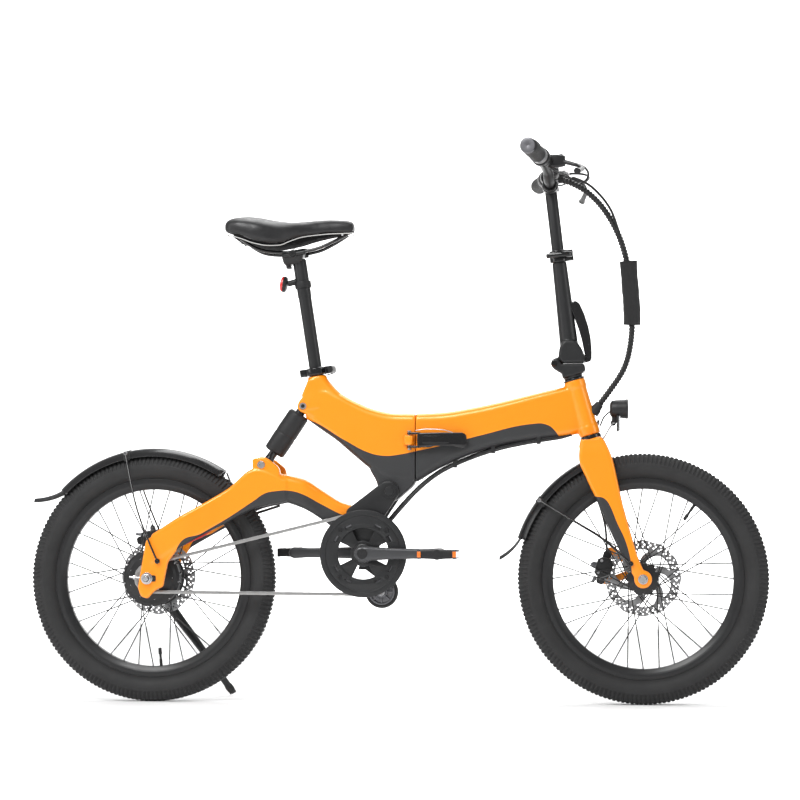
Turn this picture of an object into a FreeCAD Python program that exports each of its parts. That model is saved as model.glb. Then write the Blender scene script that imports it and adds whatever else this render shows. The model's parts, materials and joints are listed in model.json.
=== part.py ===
import FreeCAD, Part
import math
import os
import Sketcher

# Folding electric bicycle, 20 inch wheels.
# X forward, Y to the rider's left, Z up; millimetres.
# Origin: on the ground, midway between the two axles, in the plane of the wheels.

Vector = FreeCAD.Vector
Rotation = FreeCAD.Rotation
Placement = FreeCAD.Placement

document = FreeCAD.newDocument("folding_bicycle")
sheet = document.addObject("Spreadsheet::Sheet", "dims")

DIMENSIONS = {
    "half_wheelbase": 515, "tyre_radius": 260, "tyre_half_width": 28.5, "tread_half_width": 11,
    "rim_outer": 209, "rim_inner": 186, "rim_half_width": 15, "spoke_radius": 1,
    "rotor_radius": 80, "rotor_thickness": 2, "front_rotor_offset": 41, "rear_rotor_offset": 50,
    "front_axle_radius": 5, "rear_axle_radius": 6, "running_gap": 0.05,
    "front_flange": 33, "motor_radius": 60, "front_half_space": 52, "rear_half_space": 68,
    "crank_drop": 63, "crank_height": 312, "crank_length": 162, "spindle_radius": 8.5,
    "chain_line": 52, "chainring_pitch": 84.97, "sprocket_pitch": 28.54, "chain_half_height": 4,
    "pivot_setback": 10, "pivot_height": 442, "pivot_radius": 8,
    "frame_width": 52, "seam": 43, "seam_gap": 1, "fold_offset": 46, "fold_pin_radius": 5,
    "head_radius": 21, "head_half_length": 60, "steerer_radius": 14.3, "head_lean": 16,
    "post_lean": 6.55, "upper_post_radius": 12.7, "seat_lean": 8.75, "seatpost_radius": 13.6,
    "bar_radius": 11.1, "grip_radius": 16.5, "harness_radius": 6.7, "hose_radius": 3,
    "caster_radius": 35, "mudguard_radius": 274, "mudguard_thickness": 2,
}


class Size:
    """A number together with the spreadsheet formula that gives it."""

    def __init__(self, value, formula):
        self.value = float(value)
        self.formula = formula

    def joined(self, other, sign, value):
        text = other.formula if isinstance(other, Size) else repr(float(other))
        return Size(value, f"({self.formula} {sign} ({text}))")

    def __add__(self, other):
        return self.joined(other, "+", self.value + plain(other))

    def __sub__(self, other):
        return self.joined(other, "-", self.value - plain(other))

    def __mul__(self, other):
        return self.joined(other, "*", self.value * plain(other))

    def __neg__(self):
        return Size(-self.value, f"(0 - ({self.formula}))")


def plain(size):
    return size.value if isinstance(size, Size) else float(size)


def fill_sheet():
    sizes = {}
    for row, (name, value) in enumerate(DIMENSIONS.items(), start=1):
        sheet.set(f"A{row}", name)
        sheet.set(f"B{row}", str(value))
        sheet.setAlias(f"B{row}", name)
        sizes[name] = Size(value, f"dims.{name}")
    document.recompute()
    return sizes


D = fill_sheet()
finished = []


# ---------------------------------------------------------------- helpers

def bind(thing, name, size):
    """Set a property, and bind it to the sheet where the size has a formula."""
    if "." not in name:
        setattr(thing, name, plain(size))
    if isinstance(size, Size):
        thing.setExpression(name, size.formula)


def keep(thing, label, placement=None):
    """Name a sub-part, place it and list it for export."""
    thing.Label = label
    if placement is not None:
        thing.Placement = placement
    finished.append(thing)
    return thing


def lean(position, degrees):
    """A placement at a point, its Z axis leaning forward by the given angle."""
    return Placement(Vector(*position), Rotation(Vector(0, 1, 0), degrees))


def across(position):
    """A placement at a point whose local X axis runs along the bicycle's Y."""
    return Placement(Vector(*position), Rotation(Vector(0, 0, 1), 90))


def new_body(name):
    return document.addObject("PartDesign::Body", name + "_body")


def new_sketch(body, plane, offset=0.0):
    sketch = body.newObject("Sketcher::SketchObject", body.Name + "_sketch")
    origin_plane = [item for item in body.Origin.OriginFeatures if item.Role == plane][0]
    sketch.AttachmentSupport = [(origin_plane, "")]
    sketch.MapMode = "FlatFace"
    sketch.AttachmentOffset = Placement(Vector(0, 0, plain(offset)), Rotation())
    if isinstance(offset, Size):
        sketch.setExpression("AttachmentOffset.Base.z", offset.formula)
    return sketch


def pin_coordinate(sketch, kind, geometry, corner, size):
    index = sketch.addConstraint(
        Sketcher.Constraint(kind, -1, 1, geometry, corner, plain(size)))
    if isinstance(size, Size):
        sketch.setExpression(f"Constraints[{index}]", size.formula)


def arc_through(start, via, end):
    """An anticlockwise arc through three points, and whether it runs from start to end."""
    arc = Part.Circle(start, via, end)
    centre = arc.Center
    angles = [math.atan2(point.y - centre.y, point.x - centre.x) for point in (start, via, end)]
    forward = (angles[1] - angles[0]) % math.tau < (angles[2] - angles[0]) % math.tau
    first, last = (angles[0], angles[2]) if forward else (angles[2], angles[0])
    upright = Part.Circle(centre, Vector(0, 0, 1), arc.Radius)
    return Part.ArcOfCircle(upright, first, first + (last - first) % math.tau), forward


def draw_loop(sketch, steps):
    """A closed outline: each step is a corner, or (corner, via) for an arc that reaches it."""
    corners = [step[0] if isinstance(step[0], tuple) else step for step in steps]
    points = [Vector(plain(x), plain(y), 0) for x, y in corners]
    first = sketch.GeometryCount
    count = len(steps)
    ends = []
    for number in range(count):
        start, end = points[number - 1], points[number]
        if isinstance(steps[number][0], tuple):
            via = Vector(plain(steps[number][1][0]), plain(steps[number][1][1]), 0)
            arc, forward = arc_through(start, via, end)
            here = sketch.addGeometry(arc, False)
            ends.append((1, 2) if forward else (2, 1))
            flat = abs(end.x - start.x) >= abs(end.y - start.y)
            kind = "DistanceY" if flat else "DistanceX"
            pin_coordinate(sketch, kind, here, 3, arc.Center.y if flat else arc.Center.x)
        else:
            sketch.addGeometry(Part.LineSegment(start, end), False)
            ends.append((1, 2))
    for number in range(count):
        follower = (number + 1) % count
        sketch.addConstraint(Sketcher.Constraint(
            "Coincident", first + number, ends[number][1], first + follower, ends[follower][0]))
        pin_coordinate(sketch, "DistanceX", first + number, ends[number][1], corners[number][0])
        pin_coordinate(sketch, "DistanceY", first + number, ends[number][1], corners[number][1])


def draw_circle(sketch, centre, radius):
    index = sketch.addGeometry(
        Part.Circle(Vector(plain(centre[0]), plain(centre[1]), 0), Vector(0, 0, 1), plain(radius)), False)
    pin_coordinate(sketch, "DistanceX", index, 3, centre[0])
    pin_coordinate(sketch, "DistanceY", index, 3, centre[1])
    constraint = sketch.addConstraint(Sketcher.Constraint("Radius", index, plain(radius)))
    if isinstance(radius, Size):
        sketch.setExpression(f"Constraints[{constraint}]", radius.formula)


def rounded_box(low, high, corner):
    """Steps of a rectangle with rounded corners."""
    (x0, y0), (x1, y1) = low, high
    corner = min(corner, (x1 - x0) / 2 - 0.5, (y1 - y0) / 2 - 0.5)
    near = corner * (1 - math.sqrt(0.5))
    return [
        (x1 - corner, y0),
        ((x1, y0 + corner), (x1 - near, y0 + near)), (x1, y1 - corner),
        ((x1 - corner, y1), (x1 - near, y1 - near)), (x0 + corner, y1),
        ((x0, y1 - corner), (x0 + near, y1 - near)), (x0, y0 + corner),
        ((x0 + corner, y0), (x0 + near, y0 + near)),
    ]


def add_pad(body, sketch, length, midplane=True, reverse=False):
    pad = body.newObject("PartDesign::Pad", body.Name + "_pad")
    pad.Profile = sketch
    pad.Midplane = midplane
    pad.Reversed = reverse
    bind(pad, "Length", length)
    return pad


def add_pocket(body, sketch, length=None):
    """A pocket through everything, or one of a given width about the sketch's plane."""
    document.recompute()
    before = body.Shape.Volume
    pocket = body.newObject("PartDesign::Pocket", body.Name + "_pocket")
    pocket.Profile = sketch
    pocket.Midplane = True
    if length is None:
        pocket.Type = 1
    else:
        bind(pocket, "Length", length)
    document.recompute()
    if body.Shape.Volume >= before:
        raise RuntimeError(f"{body.Name}: a pocket cut nothing")
    return pocket


def add_pattern(body, feature, sketch, count):
    pattern = body.newObject("PartDesign::PolarPattern", body.Name + "_pattern")
    pattern.Originals = [feature]
    pattern.Axis = (sketch, ["N_Axis"])
    pattern.Angle = 360
    pattern.Occurrences = count
    body.Tip = pattern
    return pattern


def add_primitive(body, kind, placement, **sizes):
    item = body.newObject("PartDesign::" + kind, body.Name + "_" + kind.lower())
    for name, size in sizes.items():
        bind(item, name, size)
    item.Placement = placement
    return item


def turned_body(name, steps, placement):
    """A turned solid: the outline is (along the axle, radius)."""
    body = new_body(name)
    sketch = new_sketch(body, "XY_Plane")
    draw_loop(sketch, steps)
    turn = body.newObject("PartDesign::Revolution", body.Name + "_turn")
    turn.Profile = sketch
    turn.ReferenceAxis = (sketch, ["H_Axis"])
    turn.Angle = 360
    body.Placement = placement
    return body


def revolve(label, steps, placement):
    return keep(turned_body(label, steps, placement), label)


def blend_stations(stations, steps):
    """Add stations between the given ones along smooth curves that never overshoot."""
    def slope(before, here, after, item):
        left = (here[item] - before[item]) / (here[0] - before[0])
        right = (after[item] - here[item]) / (after[0] - here[0])
        return 0.0 if left * right <= 0 else 2 * left * right / (left + right)

    count = len(stations)
    slopes = []
    for number, here in enumerate(stations):
        before = stations[max(number - 1, 0)]
        after = stations[min(number + 1, count - 1)]
        if number in (0, count - 1):
            slopes.append([(after[item] - before[item]) / (after[0] - before[0]) for item in range(len(here))])
        else:
            slopes.append([slope(before, here, after, item) for item in range(len(here))])
    blended = [stations[0]]
    for number in range(count - 1):
        here, after = stations[number], stations[number + 1]
        span = after[0] - here[0]
        for step in range(1, steps + 1):
            t = step / steps
            blended.append([
                (1 + 2 * t) * (1 - t) ** 2 * here[item] + t * (1 - t) ** 2 * span * slopes[number][item]
                + t * t * (3 - 2 * t) * after[item] + t * t * (t - 1) * span * slopes[number + 1][item]
                for item in range(len(here))])
            blended[-1][0] = here[0] + span * t
    return blended


def add_loft(body, plane, stations, steps=3):
    """Loft through rounded boxes; a station is (offset, x0, y0, x1, y1, corner radius)."""
    sketches = []
    for offset, x0, y0, x1, y1, corner in blend_stations([list(item) for item in stations], steps):
        sketch = new_sketch(body, plane, offset)
        draw_loop(sketch, rounded_box((x0, y0), (x1, y1), corner))
        sketches.append(sketch)
    loft = body.newObject("PartDesign::AdditiveLoft", body.Name + "_loft")
    loft.Ruled = True
    loft.Profile = sketches[0]
    loft.Sections = sketches[1:]
    return loft


def cylinder(name, radius, height, placement):
    item = document.addObject("Part::Cylinder", name)
    bind(item, "Radius", radius)
    bind(item, "Height", height)
    item.Placement = placement
    return item


def ring(name, outer, inner, height, placement):
    cut = document.addObject("Part::Cut", name)
    cut.Base = cylinder(name + "_outside", outer, height, Placement())
    cut.Tool = cylinder(name + "_inside", inner, height, Placement())
    cut.Placement = placement
    return cut


def group(label, items):
    compound = document.addObject("Part::Compound", label + "_group")
    compound.Links = items
    return keep(compound, label)


def fused(label, items, placement=None):
    return keep(fused_parts(label, items), label, placement)


def fused_parts(name, items):
    """A union that belongs to a larger sub-part."""
    fusion = document.addObject("Part::MultiFuse", name + "_fusion")
    fusion.Shapes = items
    return fusion


def sliced(label, base, blocks):
    """A welded piece as touching sections: what of it lies in each block (low corner, high corner)."""
    sections = []
    for number, (low, high) in enumerate(blocks):
        block = document.addObject("Part::Box", f"{label}_block_{number}")
        block.Length, block.Width, block.Height = (b - a for a, b in zip(low, high))
        block.Placement = Placement(Vector(*low), Rotation())
        section = document.addObject("Part::Common", f"{label}_section_{number}")
        section.Base = base
        section.Tool = block
        sections.append(section)
    return group(label, sections)


def feature(label, shape):
    item = document.addObject("Part::Feature", label + "_shape")
    item.Shape = shape
    return keep(item, label, Placement())


def route(points):
    """Straight runs joined by tangent arcs, each as large as its two runs allow."""
    corners = [Vector(*point) for point in points]
    edges = []
    radii = []
    start = corners[0]
    for before, corner, after in zip(corners, corners[1:], corners[2:]):
        arriving = (corner - before).normalize()
        leaving = (after - corner).normalize()
        half_turn = arriving.getAngle(leaving) / 2
        reach = 0.45 * min((corner - before).Length, (after - corner).Length)
        radius = reach / math.tan(half_turn)
        radii.append(round(radius))
        arc_start = corner - arriving * reach
        arc_end = corner + leaving * reach
        inward = (leaving - arriving).normalize()
        middle = corner + inward * (radius / math.cos(half_turn) - radius)
        edges.append(Part.LineSegment(start, arc_start).toShape())
        edges.append(Part.Arc(arc_start, middle, arc_end).toShape())
        start = arc_end
    edges.append(Part.LineSegment(start, corners[-1]).toShape())
    return Part.Wire(edges), radii


def tube(points, radius, name):
    """A round solid along a route; its volume is compared with section times length."""
    path, radii = route(points)
    forward = Vector(*points[1]) - Vector(*points[0])
    profile = Part.Wire(Part.Circle(Vector(*points[0]), forward, radius).toShape())
    solid = path.makePipeShell([profile], True, False)
    expected = math.pi * radius ** 2 * path.Length
    if abs(solid.Volume - expected) > 0.02 * expected:
        raise RuntimeError(f"{name}: the tube's volume is wrong")
    print(name, "length", round(path.Length), "bend radii", radii)
    return solid


def rod(start, end, radius):
    """A straight round bar between two points."""
    direction = Vector(*end) - Vector(*start)
    return Part.makeCylinder(radius, direction.Length, Vector(*start), direction)


# ---------------------------------------------------------------- places

WHEEL_HEIGHT = D["tyre_radius"].value
FRONT_AXLE = (D["half_wheelbase"].value, 0, WHEEL_HEIGHT)
REAR_AXLE = (-D["half_wheelbase"].value, 0, WHEEL_HEIGHT)
CRANK = (-D["crank_drop"].value, 0, D["crank_height"].value)
PIVOT = (-D["pivot_setback"].value, 0, D["pivot_height"].value)
SHOCK_TOP = (-195, 0, 621)
SHOCK_FOOT = (-278, 0, 497)
HEAD = (390.5, 0, 615.7)
POST_FOOT = (365, 0, 736)
POST_HINGE = (333, 0, 708)
SEAT_TOP = (-168.2, 0, 684)
CASTER = (-29, -10, 232)
STAND = (-497, 92, 196)
STAND_FOOT = (-372, 158, 8)
LATCH_PIN = (404, 0, 717)
SEAM = D["seam"].value
FOLD_Y = D["fold_offset"].value

STEERING = lean(HEAD, -D["head_lean"].value)
POST = lean(POST_FOOT, -D["post_lean"].value)
SEAT = lean(SEAT_TOP, -D["seat_lean"].value)
SHOCK_LEAN = math.degrees(math.atan2(SHOCK_TOP[0] - SHOCK_FOOT[0], SHOCK_TOP[2] - SHOCK_FOOT[2]))
SHOCK_LENGTH = math.hypot(SHOCK_TOP[0] - SHOCK_FOOT[0], SHOCK_TOP[2] - SHOCK_FOOT[2])
SHOCK = lean(SHOCK_FOOT, SHOCK_LEAN)


def sideways(x, z, y):
    """A placement at (x, y, z) whose local Z points to the rider's left."""
    return Placement(Vector(x, y, z), Rotation(Vector(1, 0, 0), -90))


# ---------------------------------------------------------------- wheels

def make_tyre(label, axle):
    edge = D["tread_half_width"]
    top = D["tyre_radius"]
    bulge = (D["tyre_half_width"], top - 26)
    bulge_left = (-D["tyre_half_width"], top - 26)
    revolve(label, [
        (edge, top), ((15.2, 209.4), bulge), (12.8, 209.4), (12.8, 205), (9.8, 205), (11.5, 209),
        ((-11.5, 209), (0, top - 4)), (-9.8, 205), (-12.8, 205), (-12.8, 209.4), (-15.2, 209.4),
        ((-edge, top), bulge_left),
    ], across(axle))


def make_rim(label, axle):
    side = D["rim_half_width"]
    outer = D["rim_outer"]
    inner = D["rim_inner"]
    revolve(label, [
        (side, outer), (side - 2, outer), (side - 2, 204), (9, 200), (-9, 200), (-side + 2, 204),
        (-side + 2, outer), (-side, outer), (-side, outer - 12), (-9, inner), (9, inner),
        (side, outer - 12),
    ], across(axle))


def make_spokes(label, axle, flange_radius, flange_left, flange_right, cross):
    """Thirty-six straight spokes, eighteen a side, half of them leading and half trailing."""
    spokes = []
    rim_radius = D["rim_inner"].value + 2
    for number in range(36):
        side = 1 if number % 2 == 0 else -1
        flange = flange_left if side > 0 else flange_right
        leading = 1 if (number // 2) % 2 == 0 else -1
        at_rim = math.radians(10 * number)
        at_hub = at_rim + math.radians(cross) * leading
        start = (axle[0] + flange_radius * math.cos(at_hub), flange + 2.2 * leading * side,
                 axle[2] + flange_radius * math.sin(at_hub))
        end = (axle[0] + rim_radius * math.cos(at_rim), side * (3.2 + 1.4 * leading),
               axle[2] + rim_radius * math.sin(at_rim))
        spokes.append(rod(start, end, D["spoke_radius"].value))
    feature(label, Part.makeCompound(spokes))


def make_rotor(label, axle, offset):
    body = new_body(label)
    disc = new_sketch(body, "YZ_Plane", offset)
    draw_circle(disc, (0, 0), D["rotor_radius"])
    draw_circle(disc, (0, 0), 15)
    add_pad(body, disc, D["rotor_thickness"])
    window = new_sketch(body, "YZ_Plane", offset)
    draw_loop(window, [(6, 26), (27, 54), ((-16, 58), (6, 61)), (-8, 27)])
    cut = add_pocket(body, window, 8)
    add_pattern(body, cut, window, 6)
    hole = new_sketch(body, "YZ_Plane", offset)
    draw_circle(hole, (0, 73), 3)
    draw_circle(hole, (6.5, 67.5), 2)
    drilled = add_pocket(body, hole, 8)
    add_pattern(body, drilled, hole, 24)
    keep(body, label, across(axle))


def make_front_hub():
    bore = D["front_axle_radius"] + D["running_gap"]
    flange = D["front_flange"]
    revolve("front_hub", [
        (-46, bore), (-46, 12), (-34, 14), (-34, flange), (-30, flange), (-28, 17), (19, 17),
        (21, flange), (25, flange), (25, 20), (40, 20), (40, 14.8), (46, 14.8), (46, bore),
    ], across(FRONT_AXLE))


def make_motor():
    """The motor case, and the spigot on its right that the freewheel turns round."""
    bore = D["rear_axle_radius"] + D["running_gap"]
    radius = D["motor_radius"]
    case = turned_body("motor_case", [
        (-44, bore), (-44, 26), (-38, 30), (-34, 50), (-29, 54), (-29, radius),
        (-25, radius), (-25, radius - 4), (25, radius - 4), (25, radius), (29, radius), (29, 54), (34, 48),
        (38, 26), (49, 24), (49, 14.8), (55, 14.8), (55, bore),
    ], across(REAR_AXLE))
    spigot = turned_body("motor_spigot", [(-56, bore), (-56, 12.4), (-44, 12.4), (-44, bore)],
        across(REAR_AXLE))
    group("hub_motor", [case, spigot])


def make_axles():
    """Each spindle with its spacers and, behind, its nuts."""
    reach = D["front_half_space"] + 14
    front = [cylinder("front_spindle", D["front_axle_radius"], reach * 2,
                      sideways(FRONT_AXLE[0], FRONT_AXLE[2], -reach.value))]
    for side in (-1, 1):
        inner = 47 if side > 0 else -52
        front.append(ring(f"front_spacer_{side + 1}", 9, D["front_axle_radius"], 5,
                          sideways(FRONT_AXLE[0], FRONT_AXLE[2], inner)))
    fused("front_axle", front)
    reach = D["rear_half_space"] + 24
    rear = [cylinder("rear_spindle", D["rear_axle_radius"], reach * 2,
                     sideways(REAR_AXLE[0], REAR_AXLE[2], -reach.value))]
    for inner, length in ((-68, 11.6), (56, 12)):
        rear.append(ring(f"rear_spacer_{length}".replace(".", "_"), 11, D["rear_axle_radius"], length,
                         sideways(REAR_AXLE[0], REAR_AXLE[2], inner)))
    for start in (-90.1, 78.1):
        nut = ring(f"rear_nut_{int(start + 100)}", 13, D["rear_axle_radius"], 12,
                   sideways(REAR_AXLE[0], REAR_AXLE[2], start))
        rear.append(nut)
    return fused_parts("rear_axle", rear)


# ---------------------------------------------------------------- drive

def make_toothed_plate(body, teeth, pitch, thickness):
    """A disc with its teeth, centred on the chain line."""
    offset = -D["chain_line"]
    disc = new_sketch(body, "YZ_Plane", offset)
    draw_circle(disc, (0, 0), pitch - 3.6)
    add_pad(body, disc, thickness)
    tooth = new_sketch(body, "YZ_Plane", offset)
    half = 3.1
    draw_loop(tooth, [(-half, pitch - 6), (half, pitch - 6), (half - 0.5, pitch - 1),
                      (1, pitch + 2.8), (-1, pitch + 2.8), (0.5 - half, pitch - 1)])
    pad = add_pad(body, tooth, thickness)
    document.recompute()
    add_pattern(body, pad, tooth, teeth)
    return offset


def make_chainring():
    body = new_body("chainring")
    pitch = D["chainring_pitch"]
    offset = make_toothed_plate(body, 42, pitch, 2.2)
    bore = new_sketch(body, "YZ_Plane", offset)
    draw_circle(bore, (0, 0), 20)
    add_pocket(body, bore, 8)
    window = new_sketch(body, "YZ_Plane", offset)
    draw_loop(window, [(30, 20), (66, 38), ((38, 66), (54, 54)), (20, 30)])
    cut = add_pocket(body, window, 8)
    add_pattern(body, cut, window, 4)
    body.Placement = across(CRANK)
    guard = new_body("chain_guard")
    face = new_sketch(guard, "YZ_Plane", -(D["chain_line"] + 6))
    draw_circle(face, (0, 0), pitch + 6)
    draw_circle(face, (0, 0), pitch - 17)
    add_pad(guard, face, 2.4)
    guard.Placement = across(CRANK)
    posts = []
    for number in range(4):
        turn = math.radians(90 * number)
        centre = (CRANK[0] + 72 * math.cos(turn), CRANK[2] + 72 * math.sin(turn))
        posts.append(ring(f"guard_bolt_{number}", 3.5, 1.5, 3.6, sideways(*centre, -56.75)))
    group("chainring", [body, guard] + posts)


def make_freewheel():
    body = new_body("freewheel")
    make_toothed_plate(body, 14, D["sprocket_pitch"], 2.2)
    drum = new_sketch(body, "YZ_Plane", -49.5)
    draw_circle(drum, (0, 0), 22.5)
    add_pad(body, drum, 9)
    bore = new_sketch(body, "YZ_Plane", -50)
    draw_circle(bore, (0, 0), D["running_gap"] + 17)
    add_pocket(body, bore, 30)
    keep(body, "freewheel", across(REAR_AXLE))


def belt(sketch, grow):
    """The loop round both toothed wheels, moved outwards from the pitch line."""
    big = D["chainring_pitch"].value + grow
    small = D["sprocket_pitch"].value + grow
    dx = CRANK[0] - REAR_AXLE[0]
    dz = CRANK[2] - REAR_AXLE[2]
    distance = math.hypot(dx, dz)
    slope = math.atan2(dz, dx)
    spread = math.acos((big - small) / distance)

    def on(centre, radius, angle):
        return (centre[0] + radius * math.cos(angle), centre[2] + radius * math.sin(angle))

    upper = slope + math.pi - spread
    lower = slope + math.pi + spread
    draw_loop(sketch, [
        (on(CRANK, big, upper), on(CRANK, big, slope)), on(REAR_AXLE, small, upper),
        (on(REAR_AXLE, small, lower), on(REAR_AXLE, small, slope + math.pi)), on(CRANK, big, lower),
    ])


def make_chain():
    body = new_body("chain")
    side = new_sketch(body, "XZ_Plane", D["chain_line"])
    belt(side, D["chain_half_height"].value)
    belt(side, -D["chain_half_height"].value)
    add_pad(body, side, 7)
    slot = new_sketch(body, "XZ_Plane", D["chain_line"])
    draw_circle(slot, (CRANK[0], CRANK[2]), D["chainring_pitch"] + 6)
    draw_circle(slot, (REAR_AXLE[0], REAR_AXLE[2]), D["sprocket_pitch"] + 6)
    add_pocket(body, slot, 3.6)
    keep(body, "chain", Placement())


def make_crank_arm(label, side):
    """A tapered arm from the spindle to the pedal eye, with the pedal's spindle."""
    body = new_body(label)
    inner = 64
    face = new_sketch(body, "XZ_Plane", -inner - 7)
    reach = -D["crank_length"]
    draw_loop(face, [(reach, 11), ((reach, -11), (reach - 10, 0)), (0, -16), ((0, 16), (15, 0))])
    add_pad(body, face, 14)
    eye = new_sketch(body, "XZ_Plane", -inner)
    draw_circle(eye, (0, 0), D["spindle_radius"])
    add_pocket(body, eye, 60)
    turned_about = 0 if side > 0 else 180
    body.Placement = Placement(Vector(*CRANK), Rotation(Vector(0, 0, 1), turned_about))
    pedal_x = CRANK[0] - side * D["crank_length"].value
    start = inner + 14 if side > 0 else -inner - 14 - 95
    pin = cylinder(label + "_pedal_pin", 4.5, 95, sideways(pedal_x, CRANK[2], start))
    if side > 0:
        spindle = cylinder("crank_spindle", D["spindle_radius"], 142, sideways(CRANK[0], CRANK[2], -63.9))
        return group(label, [body, pin, spindle])
    cap = cylinder("crank_cap", 11, 4, sideways(CRANK[0], CRANK[2], -inner - 18))
    return group(label, [body, pin, cap, make_spider()])


def make_spider():
    """The four-armed spider that carries the chainring on the right arm."""
    body = new_body("spider")
    face = new_sketch(body, "YZ_Plane", -(D["chain_line"] + 7.5))
    draw_circle(face, (0, 0), 22)
    add_pad(body, face, 9)
    arm = new_sketch(body, "YZ_Plane", -(D["chain_line"] + 2.9))
    draw_loop(arm, [(-9, 10), (9, 10), (8, 72), ((-8, 72), (0, 80))])
    draw_circle(arm, (0, 72), 3.7)
    blade = add_pad(body, arm, 3)
    document.recompute()
    add_pattern(body, blade, arm, 4)
    bore = new_sketch(body, "YZ_Plane", -60)
    draw_circle(bore, (0, 0), D["spindle_radius"] + 0.2)
    add_pocket(body, bore, 40)
    body.Placement = across(CRANK)
    return body


def make_pedal(label, side):
    """A platform pedal: a frame with two windows either side of the barrel."""
    body = new_body(label)
    plate = new_sketch(body, "XY_Plane")
    draw_loop(plate, rounded_box((-40, 4), (40, 92), 10))
    add_pad(body, plate, 20)
    barrel = add_primitive(body, "AdditiveCylinder", Placement(Vector(0, 4, 0), Rotation(Vector(1, 0, 0), -90)),
                           Radius=11.5, Height=88)
    window = new_sketch(body, "XY_Plane")
    for low in (-34, 15):
        draw_loop(window, rounded_box((low, 14), (low + 19, 82), 4))
    add_pocket(body, window, 40)
    bore = new_sketch(body, "XZ_Plane")
    draw_circle(bore, (0, 0), D["running_gap"] + 4.5)
    add_pocket(body, bore, 400)
    reach = D["crank_length"].value
    if side < 0:
        place = Placement(Vector(CRANK[0] + reach, -80, CRANK[2]), Rotation(Vector(1, 0, 0), 180))
    else:
        place = Placement(Vector(CRANK[0] - reach, 80, CRANK[2]), Rotation())
    keep(body, label, place)


def make_bottom_bracket(bracket):
    """The two cups of the crank bearing, and the trolley wheel's bracket under them."""
    bore = D["spindle_radius"] + D["running_gap"]
    cups = [ring(f"cup_{start + 50}", 20, bore, 6, sideways(CRANK[0], CRANK[2], start))
            for start in (-40, 34)]
    group("bottom_bracket", cups + [bracket])


def make_caster():
    """The small trolley wheel under the crank; its bracket is returned."""
    revolve("caster_wheel", [
        (-11, 5 + plain(D["running_gap"])), (-11, 14), (-9, 28), (-9, 31), ((9, 31), (0,
            D["caster_radius"])), (9, 28),
        (11, 14), (11, 5 + plain(D["running_gap"])),
    ], across(CASTER))
    body = new_body("caster_bracket")
    x, z = CASTER[0], CASTER[2]
    for offset in (-3, 23):
        cheek = new_sketch(body, "XZ_Plane", offset)
        draw_loop(cheek, [(x + 9, z - 6), (x + 11, z + 38), (CRANK[0] + 20, CRANK[2] - 22),
                          (CRANK[0] - 12, CRANK[2] - 24), (x - 11, z + 30), (x - 9, z - 6)])
        add_pad(body, cheek, 3)
    bridge = new_sketch(body, "XZ_Plane", 10)
    draw_loop(bridge, [(CRANK[0] - 12, CRANK[2] - 24), (CRANK[0] - 14, CRANK[2] - 34),
                       (CRANK[0] + 18, CRANK[2] - 34), (CRANK[0] + 20, CRANK[2] - 22)])
    add_pad(body, bridge, 29)
    add_primitive(body, "AdditiveCylinder", Placement(Vector(x, -26, z), Rotation(Vector(1, 0, 0), -90)),
                  Radius=5, Height=32)
    return body


# ---------------------------------------------------------------- frame

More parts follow.
